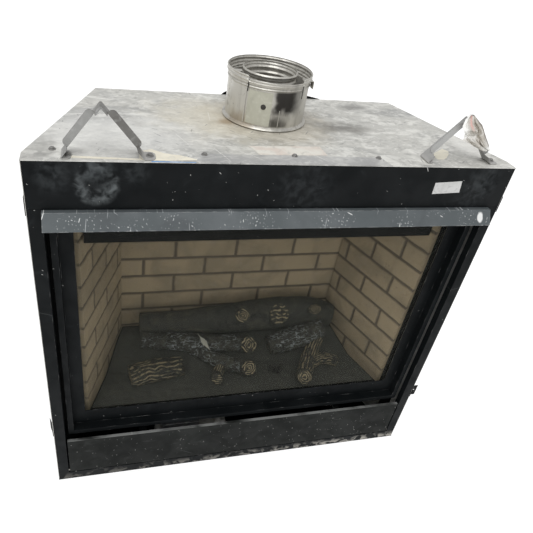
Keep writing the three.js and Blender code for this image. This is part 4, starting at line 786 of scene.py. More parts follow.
for label, node in frame["nodes"].items():
    finish = OWN_FINISH.get(label, FINISH_OF_SLOT[slot_of[label]])
    if not node.material_slots:
        node.data.materials.append(finish)
    for place in node.material_slots:
        place.material = finish
    if label in SOFT_EDGES:
        add_modifier(node, "WELD", merge_threshold=0.00001)
        add_modifier(node, "BEVEL", width=SOFT_EDGES[label], segments=2, limit_method="ANGLE",
                     angle_limit=math.radians(30), harden_normals=True)


# Vent: collar, flue, label place, seams, and dark strips as painted shade in the slits

# Outer radii of the collar, of the flue and of the flange at its foot, and how far the collar's upper band
# stands out
COLLAR_RADIUS = 0.0944
FLUE_RADIUS = 0.0626
FLUE_FOOT_RADIUS = 0.0764
BAND_OUT = 0.0028

# Heights over the top: where the collar's wall steps out to its band, where its rim starts, and its end
BAND_FOOT = (0.0965, 0.100)
RIM_FOOT = 0.0975
COLLAR_HIGH = 0.1164

# Rolled beads as the middle's height, half the width and how far it stands out: the collar's over the top,
# the flue's over the floor
COLLAR_BEADS = ((0.003, 0.0055, 0.0066), (0.0935, 0.0032, 0.0026), (0.1065, 0.0035, 0.0020),
                (0.1145, 0.003, 0.0022))
FLUE_BEADS = ((1.0885, 0.005, -0.0032), (1.102, 0.005, -0.0032), (1.1132, 0.0038, 0.0024))


def bulge_share(away, half):
    """1 in the middle of a bead and 0 at half its width: cos^2 of the distance from its middle line."""
    return np.cos(np.clip(away / half, -1, 1) * np.pi / 2) ** 2


def beaded(heights, radius, beads):
    """Radii of a turned wall: a plain radius, and on it each bead by its share at that height."""
    return radius + sum(out * bulge_share(heights - middle, half) for middle, half, out in beads)


def wall_profile(heights, radii, thickness):
    """A sheet wall as a closed profile: up the outside, over the rim, and down the inside."""
    outside = np.stack([radii, heights], axis=-1)
    inside = np.stack([radii - thickness, heights], axis=-1)[::-1]
    rim = [[radii[-1] - thickness / 2, heights[-1] + thickness * 0.3]]
    return np.concatenate([outside, rim, inside])


def round_share(angle, low, high):
    """1 between two angles from the front, in degrees, and 0 outside them, with sides 1.2 degrees wide."""
    soft = 1.2
    return rise(angle, low - soft, low) * (1 - rise(angle, high, high + soft))


def dents(angle, height):
    """A turned wall's small dents, from noise over its round and its height."""
    round_place = [np.cos(angle) * 2.2 + 0 * height, np.sin(angle) * 2.2 + 0 * height, height * 30]
    return 0.0005 * value_noise(np.stack(round_place, axis=-1), 5)


def from_front(angle):
    """Degrees from the front, to the right, for an angle of a lathe."""
    return (np.degrees(angle) + 90 + 180) % 360 - 180


def vent_collar():
    """The collar's wall: a bead at its foot, a step out to the band, two beads and a rolled rim. In front,
    what stands above the rim's foot is pressed down to 0.6 of its height. Soot lies right of the front, and
    less dark at the foot; torn moves its border by noise."""
    sides = 240
    heights = np.linspace(0, COLLAR_HIGH, 76)
    radii = beaded(heights, COLLAR_RADIUS, COLLAR_BEADS) + BAND_OUT * rise(heights, *BAND_FOOT)
    wall = lathe(wall_profile(heights, radii, 0.0012), sides, (VENT_ACROSS, VENT_BACK, TOP + 0.0004), dents)
    turn = from_front(np.linspace(0, 2 * np.pi, sides, endpoint=False))[None, :]
    above = np.maximum(wall[..., 2] - TOP - RIM_FOOT, 0)
    wall[..., 2] -= above * 0.4 * round_share(turn, -43.0, 35.0)
    height = wall[..., 2] - TOP
    torn = 0.006 * layered_noise(np.stack([turn / 7 + 0 * height, height * 60, 0 * height], axis=-1), 4, 4)
    turned = turn + torn * 500
    upper = rise(turned, -9, 1) * (1 - rise(turned, 20, 46)) * rise(height + torn, 0.030, 0.056)
    lower = rise(turned, -17, -5) * (1 - rise(turned, 4, 26)) * (1 - rise(height + torn, 0.018, 0.055)) * 0.8
    soot = np.maximum(upper, lower) * (1 - rise(height, 0.088, 0.0935)) * rise(height, 0.008, 0.013)
    new_piece("vent_collar_rolled", wall, grid_faces(*wall.shape[:2], True, True), "casing", "stainless",
              VENT_STEEL, ["vent_outer_collar"], soot=soot)


def vent_flue():
    """The flue's wall: a flange at its foot, two grooves below the rim and a rolled rim, with heights close
    together where it is beaded."""
    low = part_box("vent_inner_flue")[0].z
    plain = np.linspace(low + 0.002, 1.078, 6)
    heights = np.concatenate([[low, low + 0.001], plain, np.linspace(1.080, 1.1165, 52)])
    radii = beaded(heights, FLUE_RADIUS, FLUE_BEADS)
    radii[:2] = FLUE_FOOT_RADIUS
    wall = lathe(wall_profile(heights, radii, 0.001), 160, (VENT_ACROSS, VENT_BACK, 0), dents)
    new_piece("vent_flue_grooved", wall, grid_faces(*wall.shape[:2], True, True), "casing", "stainless",
              VENT_STEEL, ["vent_inner_flue"])


vent_collar()
vent_flue()


# Casing back and the cover of the rear outlet

OUTLET_ACROSS = 0.0525
OUTLET_RADIUS = 0.0865


def rivet(name, x, y, z, height, slot, material):
    """A low domed rivet on a face that looks back: its profile is a quarter of an ellipse."""
    t = np.linspace(0, 0.95, 9) * np.pi / 2
    profile = [(0.005, -0.0003), *np.stack([0.005 * np.cos(t), height * np.sin(t)], axis=-1)]
    wall = lathe(profile, 40, (0, 0, 0))
    points = np.stack([x + wall[..., 0], y + wall[..., 2], z + wall[..., 1]], axis=-1)
    new_piece(name, points, capped(*points.shape[:2]), "casing", slot, material)


def rear_cover():
    """The cover of the rear outlet: a flat arch that rises over the top by each share of its height, with a
    pressed ring and low rivets on it."""
    low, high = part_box("rear_vent_cover")
    left, right = -0.086, 0.192
    over = [(-0.074, 0.8), (-0.045, 1.0), (0.055, 1.0), (0.120, 0.9), (0.157, 0.62)]
    over = [(x, TOP + share * (high.z - TOP)) for x, share in [(left, 0.0), *over, (right, 0.0)]]
    outline = rounded_path([(left, low.z), *over, (right, low.z)], 0.006, 6)
    face = high.y - 0.0006
    skins = [np.stack([outline[:, 0], y + 0 * outline[:, 0], outline[:, 1]], axis=-1) for y in (low.y, face)]
    new_piece("rear_cover_arched", np.stack(skins), capped(2, len(outline)), "casing", "black_steel",
              BLACK_STEEL, ["rear_vent_cover"])
    section = [(-0.0029, 0), (-0.0020, 0.0004), (0, 0.0005), (0.0020, 0.0004), (0.0029, 0), (0, -0.0002)]
    ring = lathe([(OUTLET_RADIUS + out, up) for out, up in section], 96, (0, 0, 0))
    middle = low.z + 0.112
    points = np.stack([OUTLET_ACROSS + ring[..., 0], face + ring[..., 2], middle + ring[..., 1]], axis=-1)
    new_piece("rear_cover_ring", points, grid_faces(*points.shape[:2], True, True), "casing", "black_steel",
              BLACK_STEEL)
    places = [(x, low.z + up) for x in (-0.072, 0.053, 0.178) for up in (0.015, 0.205)]
    for i, (x, z) in enumerate(places):
        rivet(f"rear_cover_rivet_{i}", x, face, z, 0.0006, "black_steel", BLACK_STEEL)


def beaded_back():
    """The casing's back sheet with four upright stiffening beads and rows of rivets. A bead is pressed 3 mm
    inwards by its share; shallow noise makes the sheet wavy between them."""
    low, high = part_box("casing_back")
    z = np.linspace(low.z, high.z, 160)[:, None]
    x = np.linspace(low.x, high.x, 230)[None, :]
    depth = 0.0003 * value_noise(np.stack([x * 9 + 0 * z, z * 9 + 0 * x, 0 * x * z], axis=-1), 3) + 0.0003
    pressed = 0 * x * z
    for middle, end in ((-0.29, 0.92), (-0.16, 0.92), (OUTLET_ACROSS, 0.70), (0.265, 0.92)):
        away = np.hypot(x - middle, z - np.clip(z, 0.09, end))
        pressed = np.maximum(pressed, bulge_share(away, 0.017))
    depth = depth + 0.003 * pressed
    skins = [np.stack([x + 0 * z, y - depth, z + 0 * x], axis=-1) for y in (high.y, low.y + 0.0003)]
    # The share of each bead also goes on the sheet, where the finish paints shade into the bead
    new_piece("casing_back_beaded", *slab(*skins), "casing", "galvanised", PLAIN_SHEET, ["casing_back"],
              pressed=np.stack([pressed, pressed]))
    foot, head = 0.022, 0.978
    edge = [(x, z) for x in (-0.380, 0.380) for z in np.linspace(0.06, 0.95, 7)]
    edge += [(-0.25, foot), (-0.25, head), (-0.09, foot), (0.09, foot), (0.25, foot), (0.25, head)]
    for i, (x, z) in enumerate(edge):
        rivet(f"back_rivet_{i + 1}", x, high.y - 0.0003, z, 0.0013, "galvanised", SCREW)


beaded_back()
rear_cover()


# Label place and seams of the collar, and dark strips as painted shade in its slits


def curved_plate(name, radius, thickness, angles, heights, material, bulge=0.0):
    """A plate wrapped on the vent's wall: points at a radius over a range of angles from the front and of
    heights over the top, as a closed slab of that thickness. Its outer face swells by bulge in the middle."""
    steps = 24
    angle = np.linspace(math.radians(angles[0]), math.radians(angles[1]), steps)[None, :]
    height = np.linspace(TOP + heights[0], TOP + heights[1], steps)[:, None]
    across = np.sin(np.linspace(0, np.pi, steps))
    swell = bulge * across[None, :] ** 0.5 * across[:, None] ** 0.2

    def wall(r):
        """The plate's skin at a radius: r sin(angle) across and r cos(angle) to the front of the middle."""
        x = VENT_ACROSS + (r + 0 * height) * np.sin(angle)
        y = VENT_BACK - (r + 0 * height) * np.cos(angle)
        return np.stack([x, y, height + 0 * angle], axis=-1)

    points = np.concatenate([wall(radius + thickness + swell), wall(radius + 0 * swell)[::-1]])
    faces = grid_faces(2 * steps, steps, wrap_rows=True)
    last = 2 * steps - 1
    sides = [[at * steps + column for at in (row, row + 1, last - 1 - row, last - row)]
             for row in range(steps - 1) for column in (0, steps - 1)]
    new_piece(name, points, faces + sides, "casing", "stainless", material)


curved_plate("vent_label_place", 0.0951, 0.0002, (-43, -9), (0.012, 0.088), VENT_LABEL)
curved_plate("vent_seam_front", 0.0948, 0.0003, (2.7, 3.7), (0.01, 0.050), STAINLESS, bulge=0.0003)
curved_plate("vent_seam_left", 0.0949, 0.0004, (-47.5, -46), (0.01, 0.092), STAINLESS, bulge=0.0004)
# Black strips in the slits at the ends of the pressed front: painted shade of the gaps
curved_plate("vent_slit_shade_left", 0.0975, 0.0008, (-44.3, -43.2), (0.083, 0.113), BLACK_STEEL)
curved_plate("vent_slit_shade_right", 0.0975, 0.0008, (35.2, 36.2), (0.074, 0.113), BLACK_STEEL)


# Straps over the top, the bright scrap on one of them, and the vent's clip

STRAP_WIDTH = 0.036
STRAP_HEIGHT = 0.098
STRAP_THICK = 0.0016

# The folded-up flange of a leg: how deep it lies behind the strap's front edge, and the shares of the leg's
# length that it runs between
FOLD = 0.016
FLANGE = (0.17, 0.865)


def bent_strap(name, corners, reach, thickness, slot, material, replaces=()):
    """A bent strap. Its path runs through corners in X and Z with bends of 3 mm radius; reach gives how far
    it goes to the front and to the back at each point, and it is thickened to the left of its travel."""
    path = rounded_path(corners, 0.003, 9)
    fine = []
    for a, b in zip(path, path[1:]):
        count = max(2, int(np.linalg.norm(b - a) / 0.0009))
        fine.append(a + (b - a) * np.linspace(0, 1, count, endpoint=False)[:, None])
    path = np.concatenate(fine + [path[-1:]])
    run = np.gradient(path, axis=0)
    run = run / np.linalg.norm(run, axis=1, keepdims=True)
    normal = np.stack([-run[:, 1], run[:, 0]], axis=-1)
    span = reach(path)
    share = np.linspace(0, 1, 13)
    rows = []
    for side in (0.0, thickness):
        at = path + normal * side
        y = span[:, :1] + (span[:, 1:] - span[:, :1]) * share[None, :]
        rows.append(np.stack([at[:, :1] + 0 * y, y, at[:, 1:] + 0 * y], axis=-1))
    points = np.concatenate([rows[0], rows[1][:, ::-1]], axis=1)
    piece = new_piece(name, points, capped(*points.shape[:2]), "casing", slot, material, replaces, sharp=40)
    add_modifier(piece, "BEVEL", width=0.0003, segments=2, limit_method="ANGLE", angle_limit=math.radians(50))


def quarter_round(inside, corner):
    """How much a rounded corner takes off a side, at a distance inside the end: corner - sqrt(corner^2 -
    d^2), where d is what the distance falls short of the corner's radius."""
    short = corner - np.clip(inside, 0, corner)
    return corner - np.sqrt(corner**2 - short**2)


def strap_reach(near, base):
    """The strap's reach in Y: full width with rounded ends, and along the middle of each leg only what is
    left behind the fold of its flange."""
    def reach(path):
        """The front and the back end of the strap at each point of its path."""
        step = np.linalg.norm(np.diff(path, axis=0, prepend=path[:1]), axis=1).cumsum()
        end = quarter_round(np.minimum(step, step[-1] - step), 0.011)
        span = np.stack([near + end, near + STRAP_WIDTH - end], axis=-1)
        share = (path[:, 1] - base) / STRAP_HEIGHT
        folded = (share > FLANGE[0]) & (share < FLANGE[1])
        span[folded, 0] = near + FOLD + 0.0008
        return span
    return reach


def flange(name, foot, apex, fold):
    """The folded-up front part of a leg: a plate along the leg, 15 mm high with rounded far corners, whose
    faces are grids of the share along the leg and the share of its height there."""
    foot, apex = np.array(foot), np.array(apex)
    length = np.linalg.norm(apex - foot)
    run = (apex - foot) / length
    out = np.array([-abs(run[1]) * np.sign(run[0]), abs(run[0])])
    start, end = FLANGE
    along = (start + (end - start) * (1 - np.cos(np.linspace(0, np.pi, 70))) / 2)[:, None] * length
    inside = np.minimum(along - start * length, end * length - along)
    away = 0.0003 + (0.0147 - quarter_round(inside, 0.009)) * np.linspace(0, 1, 9)[None, :]
    skins = []
    for y in (fold, fold + STRAP_THICK):
        x = foot[0] + run[0] * along + out[0] * away
        z = foot[1] + run[1] * along + out[1] * away
        skins.append(np.stack([x, y + 0 * x, z], axis=-1))
    points = np.concatenate([skins[0], skins[1][:, ::-1]], axis=1)
    piece = new_piece(name, points, capped(*points.shape[:2]), "casing", "strap_steel", STRAP, sharp=40)
    add_modifier(piece, "BEVEL", width=0.0003, segments=2, limit_method="ANGLE", angle_limit=math.radians(50))


for side, apex_across in (("left", -0.390), ("right", 0.390)):
    low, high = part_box(f"standoff_{side}")
    foot_left, foot_right = low.x + 0.0033, high.x - 0.022
    apex = (apex_across, low.z + STRAP_HEIGHT)
    corners = [(foot_left + 0.018, low.z + STRAP_THICK), (foot_left, low.z + STRAP_THICK), apex,
               (foot_right, low.z), (high.x, low.z)]
    bent_strap(f"standoff_strap_{side}", corners, strap_reach(low.y, low.z), STRAP_THICK, "strap_steel",
               STRAP, [f"standoff_{side}"])
    flange(f"strap_flange_{side}_1", (foot_left, low.z), apex, low.y + FOLD)
    flange(f"strap_flange_{side}_2", (foot_right, low.z), apex, low.y + FOLD)


def foil_scrap():
    """A bright sheet folded over the right strap's outer leg: straight rows between a left and a right edge,
    both given as points in X and Z over the top. Folds 1 - |sin|, wandering with noise, push it to the front,
    and its upper part lies before the apex."""
    left = np.array([(0.3795, 0.1135), (0.3715, 0.1006), (0.3710, 0.0848), (0.3837, 0.0675),
                     (0.3853, 0.0512), (0.4029, 0.0453), (0.4202, 0.0383), (0.4435, 0.0290)])
    right = np.array([(0.3835, 0.1145), (0.3965, 0.1050), (0.4080, 0.0965), (0.4185, 0.0892),
                      (0.4320, 0.0733), (0.4450, 0.0580), (0.4580, 0.0425), (0.4690, 0.0290)])
    t = np.linspace(0, 7, 110)
    left, right = ([np.interp(t, np.arange(8), edge[:, k]) for k in (0, 1)] for edge in (left, right))
    left, right = (np.stack(edge, axis=-1)[:, None] for edge in (left, right))
    u = np.linspace(0, 1, 80)[None, :, None]
    flat = left + (right - left) * u
    u, down = u[..., 0] + 0 * flat[..., 0], t[:, None] / 7 + 0 * flat[..., 0]
    wander = layered_noise(np.stack([u * 1.5, down * 3, 0 * u], axis=-1), 13, 3)
    phase = 1.9 * u + 0.4 * down + 0.30 * wander + 0.62
    fold = 1 - np.abs(np.sin(np.pi * phase))
    small = np.abs(value_noise(np.stack([u * 7, down * 9, 0 * u], axis=-1), 21))
    lift = (1 - fold**1.5) * 0.007 + 0.0016 * small
    before_apex = 1 - rise(down - 0.12 * u, 0.36, 0.5)
    y = -0.1690 - 0.0165 * before_apex - lift * np.sin(np.pi * np.clip(u, 0.04, 0.96)) ** 0.5
    x = flat[..., 0] - 0.0134 * before_apex
    z = np.minimum(TOP + flat[..., 1] + 0.0058 * before_apex, TOP + 0.1165)
    points = np.stack([x, y, z], axis=-1)
    rear = points + np.array([0, 0.0004, 0])
    points = np.concatenate([points, rear[:, ::-1]], axis=1)
    # Marks for the finish: painted shade in the folds and along the right edge, a painted highlight on the
    # flat upper left and low on the right, and the pink streak
    marks = {
        "fold": np.maximum(rise(fold, 0.74, 0.95) * rise(wander, -0.6, 0.1), rise(u, 0.93, 0.97)),
        "pink": np.exp(-(((u - 0.42 - 0.1 * down) / 0.06) ** 2)) * (1 - rise(down, 0.3, 0.5)),
        "flat": ((1 - rise(u, 0.22, 0.34)) * (1 - rise(down, 0.45, 0.62))
                 + rise(down, 0.86, 0.93) * rise(u, 0.4, 0.6)),
    }
    marks = {label: np.concatenate([mark, mark[:, ::-1]], axis=1) for label, mark in marks.items()}
    new_piece("strap_foil_scrap", points, capped(*points.shape[:2]), "casing", "strap_steel", FOIL, sharp=40,
              **marks)


foil_scrap()

clip = [(0.0915, 0.088), (0.0915, 0.1065), (0.0672, 0.1065), (0.0672, 0.09)]
clip_reach = (VENT_BACK - 0.052, VENT_BACK - 0.034)
bent_strap("vent_clip_right", [(VENT_ACROSS + x, TOP + z) for x, z in clip],
           lambda path: np.array([clip_reach] * len(path)), 0.0012, "stainless", STAINLESS)


# Screws


# The rings of a screw of size 1, from its shank to its top: radius, height, and whether they are six-sided
SHANK_RADIUS = 0.42
SCREW_RINGS = [(SHANK_RADIUS, 0.0, False), (1.45, 0.0, False), (1.5, 0.12, False), (1.42, 0.24, False),
               (1.05, 0.32, True), (0.99, 0.36, True), (0.99, 0.8, True), (0.9, 0.92, True),
               (0.6, 0.97, False), (0.2, 0.98, False)]


def hex_screw(name, centre, turn=0.0, size=0.0052, facing=None, replaces=(), material=SCREW, shank=0.0):
    """A hex washer-head screw: rings of a shank, a washer, a flange and a six-sided head, whose radius at an
    angle is its size / cos(angle within its flat), under a low dome. It faces up or, where facing is given,
    to the side at that angle from the front."""
    angle = np.linspace(0, 2 * np.pi, 48, endpoint=False)
    hexagon = 0.9 / np.cos((angle + turn) % (np.pi / 3) - np.pi / 6)
    rows = []
    for radius, height, six_sided in [(SHANK_RADIUS, -shank / size, False), *SCREW_RINGS]:
        r = size * radius * (hexagon if six_sided else 1)
        rows.append(np.stack([r * np.cos(angle), r * np.sin(angle), height * size + 0 * angle], axis=-1))
    points = np.stack(rows)
    if facing is not None:
        out = np.array([math.sin(facing), -math.cos(facing), 0.0])
        side = np.array([math.cos(facing), math.sin(facing), 0.0])
        points = points[..., :1] * side + points[..., 1:2] * np.array([0, 0, 1.0]) + points[..., 2:] * out
    new_piece(name, points + np.array(centre), capped(*points.shape[:2]), "casing", "stainless", material,
              replaces, sharp=30)


for side in ("left", "right"):
    for i in (1, 2):
        label = f"standoff_screw_{side}_{i}"
        low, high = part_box(label)
        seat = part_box(f"standoff_{side}")[0].z + 0.0018
        hex_screw(f"hex_screw_{side}_{i}", ((low.x + high.x) / 2, (low.y + high.y) / 2, seat), turn=i * 0.4,
                  replaces=[label], shank=0.008)
lap_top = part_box("top_lap_strip")[1].z
for i, (x, y) in enumerate(((-0.192, -0.164), (0.001, -0.162), (0.196, -0.164))):
    hex_screw(f"lap_screw_{i + 1}", (x, y, lap_top + 0.0001), turn=i * 0.5, size=0.0044)
hex_screw("casing_screw", (-0.480, -0.151, TOP + 0.0001), turn=0.3, size=0.0046)
around = math.radians(-20)
on_wall = (VENT_ACROSS + 0.0951 * math.sin(around), VENT_BACK - 0.0951 * math.cos(around), TOP + 0.055)
hex_screw("vent_screw", on_wall, facing=around, size=0.0040, material=SOOTED)

# Two columns of screws on each tapered side, the rear one 30 mm higher
for side, sign in (("left", -1), ("right", 1)):
    for column, y in enumerate((-0.12, 0.17)):
        for row, z in enumerate((0.18, 0.42, 0.66, 0.90)):
            half = CASING_BACK_HALF + TAPER * (CASING_BACK - y)
            hex_screw(f"side_screw_{side}_{column}_{row}", (sign * (half + 0.0002), y, z + 0.03 * column),
                      turn=row + 0.4 * sign, size=0.0050, facing=math.atan2(sign, -TAPER))


# Bare label places on the top and on the header


def bare_label(name, outline, levels, slot, material, upright=False):
    """A thin sheet between two levels, cut to an outline: in X and Y where it lies flat, in X and Z where it
    is upright."""
    across, other = np.array(outline).T
    skins = []
    for level in levels:
        flat = [across, other, level + 0 * across]
        skins.append(np.stack([flat[0], flat[2], flat[1]] if upright else flat, axis=-1))
    new_piece(name, np.stack(skins), capped(2, len(outline)), "casing", slot, material)


PATCHES = {
    "tape_left": (TAPE, [(-0.450, -0.178), (-0.322, -0.186), (-0.318, -0.152), (-0.294, -0.142),
                         (-0.272, -0.160), (-0.240, -0.168), (-0.205, -0.188), (-0.270, -0.193),
                         (-0.340, -0.192), (-0.448, -0.187)]),
    "tape_right": (TAPE, [(0.342, -0.150), (0.357, -0.128), (0.392, -0.104), (0.402, -0.116), (0.394, -0.132),
                          (0.374, -0.154), (0.358, -0.165), (0.347, -0.161)]),
    "tape_blue": (BLUE_TAPE, [(-0.299, -0.1955), (-0.252, -0.1965), (-0.214, -0.1968), (-0.213, -0.1992),
                              (-0.300, -0.1992)]),
    "label_place_top": (PAPER, [(-0.088, -0.116), (-0.074, -0.158), (0.079, -0.154), (0.077, -0.109)]),
}
for label, (material, outline) in PATCHES.items():
    bare_label(label, outline, (TOP + 0.0002, TOP + 0.0005), "galvanised", material)
bare_label("sticker_bare", [(0.335, 0.9345), (0.4054, 0.9386), (0.4022, 0.9677), (0.3341, 0.9629)],
           (FACE - 0.0006, FACE - 0.0001), "black_paint", STICKER, upright=True)


# Brick-pattern liners

BRICK_LENGTH = 0.185
COURSE_HEIGHT = 0.0645
MORTAR_DEPTH = 0.0025
LINER_THICK = 0.0145
LINER_GRID = 0.003


def brick_face(x, z, phase, seed):
    """Height of the brick pattern at each place, how much of it is mortar, and each brick's tone. Bricks
    shift by half their length in every other course. The distance to the nearest joint, wavered by noise,
    gives a rounded brick edge 2 mm wide and a flat mortar bed."""
    place = np.stack([x * 40, z * 40, 0 * x + seed], axis=-1)
    x_wavy = x + 0.0008 * value_noise(place, seed)
    z_wavy = z + 0.0008 * value_noise(place, seed + 9)
    course = np.floor(z_wavy / COURSE_HEIGHT)
    along = x_wavy - phase - (course % 2) * BRICK_LENGTH / 2
    brick = np.floor(along / BRICK_LENGTH)
    to_side = np.abs((along / BRICK_LENGTH + 0.5) % 1 - 0.5) * BRICK_LENGTH
    to_bed = np.abs((z_wavy / COURSE_HEIGHT + 0.5) % 1 - 0.5) * COURSE_HEIGHT
    distance = np.minimum(to_side, to_bed)
    mortar = 1 - rise(distance, 0.0034, 0.0056)
    rough = 0.0006 * layered_noise(np.stack([x * 90, z * 90, 0 * x + seed], axis=-1), seed, 3)
    pits = 0.0009 * rise(value_noise(np.stack([x * 130, z * 130, 0 * x], axis=-1), seed + 3), 0.45, 0.8)
    own = np.stack([brick * 7.3 + 0.5, course * 5.1 + 0.5, 0 * x + 0.5], axis=-1)
    tone = value_noise(own, seed) * 0.5 + 0.5
    height = -MORTAR_DEPTH * mortar + (rough - pits) * (1 - 0.6 * mortar) - 0.0004
    return height, mortar, tone


def liner(name, corner, direction, length, phase, seed, replaces):
    """A liner slab: its face is a grid along a plan direction and up, pushed by brick_face along the face's
    normal, and its rim turns back to a flat rear."""
    columns = int(length / LINER_GRID) + 1
    rows = int((LINER_HIGH - LINER_LOW) / LINER_GRID) + 1
    s = np.linspace(0, length, columns)[None, :] + np.zeros((rows, 1))
    z = np.linspace(0, LINER_HIGH - LINER_LOW, rows)[:, None] + np.zeros((1, columns))
    height, mortar, tone = brick_face(s, z, phase, seed)
    run = np.array([*direction, 0.0])
    out = np.array([direction[1], -direction[0], 0.0])
    plain = np.array([*corner, LINER_LOW]) + s[..., None] * run + z[..., None] * np.array([0, 0, 1.0])
    row, column = rim_of(rows, columns)
    back = plain[row, column] - LINER_THICK * out
    behind = rows * columns + np.arange(len(row))
    faces = grid_faces(rows, columns) + skirt(row * columns + column, behind).tolist() + [behind.tolist()]
    points = np.concatenate([(plain + height[..., None] * out).reshape(-1, 3), back])
    extra = np.zeros(len(row))
    new_piece(name, points, faces, "casing", "brick", BRICK, replaces, sharp=60,
              mortar=np.concatenate([mortar.ravel(), extra]), tone=np.concatenate([tone.ravel(), extra]))


# A joint lies on the back liner's middle line, and the courses run on round the corners
half_brick = BRICK_LENGTH / 2
slant = math.hypot(1, TAPER)
toward_front = (TAPER / slant, -1 / slant)
side_back = LINER_FACE - 0.0003 - 0.015 * TAPER / slant
side_length = (side_back - LINER_FRONT) * slant
side_half = LINER_HALF + TAPER * (LINER_FACE - side_back)
front_half = LINER_HALF + TAPER * (LINER_FACE - LINER_FRONT)
corner_joint = BRICK_LENGTH - LINER_HALF % BRICK_LENGTH
back_half = (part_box("brick_back")[1].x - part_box("brick_back")[0].x) / 2
liner("brick_liner_back", (-back_half, LINER_FACE), (1.0, 0.0), 2 * back_half, back_half + half_brick, 11,
      ["brick_back"])
liner("brick_liner_right", (side_half, side_back), toward_front, side_length, corner_joint + half_brick, 23,
      ["brick_right"])
liner("brick_liner_left", (-front_half, LINER_FRONT), (toward_front[0], -toward_front[1]), side_length,
      side_length - corner_joint - half_brick, 37, ["brick_left"])


# Ember bed over the platform


def platform_level(y):
    """Height of the platform's top at a depth: level in front, a straight ramp, and the rear shelf."""
    level = BED - 0.0003
    ramp_front, shelf_front = LINER_FACE - 0.154, LINER_FACE - 0.044
    return level + (SHELF - level) * np.clip((y - ramp_front) / (shelf_front - ramp_front), 0, 1)


def ember_bed():
    """A crust of mineral wool: the platform's level, plus noise in clumps up to 5 mm, thinning to nothing at
    the rim, which turns down to the platform."""
    rows, columns = 104, 300
    low_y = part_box("burner_platform")[0].y + 0.004
    high_y = LINER_FACE - 0.004
    y = np.linspace(low_y, high_y, rows)[:, None] + np.zeros((1, columns))
    half = LINER_HALF + TAPER * (LINER_FACE - y) - 0.005
    x = half * np.linspace(-1, 1, columns)[None, :]
    place = np.stack([x, y, 0 * x], axis=-1)
    clumps = rise(layered_noise(place * 38, 3, 2), -0.5, 1.1)
    crumbs = rise(value_noise(place * 120, 8), 0.1, 0.9)
    edge = np.minimum(np.minimum(half - np.abs(x), y - low_y), high_y - y)
    z = platform_level(y) + 0.0004 + (0.0052 * clumps + 0.0010 * crumbs) * rise(edge, 0, 0.01)
    top = np.stack([x, y, z], axis=-1)
    under = np.stack([x, y, platform_level(y) + 0.0001], axis=-1)
    new_piece("ember_bed", *slab(top, under), "casing", "log", EMBER, sharp=80)


ember_bed()


# Logs


def smooth_path(corners, count):
    """A smooth curve through the corners: on each stretch the cubic that passes both its ends with the slopes
    of the chords across them."""
    corners = np.array(corners, dtype=float)
    ends = np.concatenate([[2 * corners[0] - corners[1]], corners, [2 * corners[-1] - corners[-2]]])
    at = np.linspace(0, len(corners) - 1, count)
    stretch = np.minimum(at.astype(int), len(corners) - 2)
    t = (at - stretch)[:, None]
    p0, p1, p2, p3 = (ends[stretch + k] for k in range(4))
    return 0.5 * (2 * p1 + (p2 - p0) * t + (2 * p0 - 5 * p1 + 4 * p2 - p3) * t**2
                  + (3 * p1 - p0 - 3 * p2 + p3) * t**3)


def bark(kind, q, angle):
    """Surface of a log, as height in metres and how far its grain is brushed and ashed. Long bark has ridges
    cos(15 angle + noise) that wander along the log; cracked bark is a net of creases with ash in patches;
    smooth bark has only faint waves."""
    if kind == "cracked":
        wide = q * np.array([48.0, 48.0, 34.0])
        net = np.maximum(crease_lines(wide, 0.16, 3), crease_lines(wide * 1.6 + 5, 0.14, 4))
        height = -0.0016 * net + 0.0006 * layered_noise(q * 90, 6, 2)
        return height, 0 * net, rise(value_noise(q * 20, 17), -0.5, 0.1)
    if kind == "long":
        wander = 5.0 * value_noise(q * np.array([30.0, 30.0, 18.0]), 7)
        ridge = np.cos(15 * angle + wander + 3.2 * value_noise(q * np.array([70.0, 70.0, 55.0]), 8))
        broken = rise(value_noise(q * np.array([110.0, 110.0, 40.0]), 9), -0.7, 0.0)
        return 0.0011 * ridge, rise(ridge, 0.3, 0.8) * broken, 0 * ridge
    height = 0.0016 * layered_noise(q * np.array([45.0, 45.0, 12.0]), 9, 3)
    lines = crease_lines(q * np.array([60.0, 60.0, 9.0]), 0.05, 25)
    return height, 0.12 * lines, 0 * lines


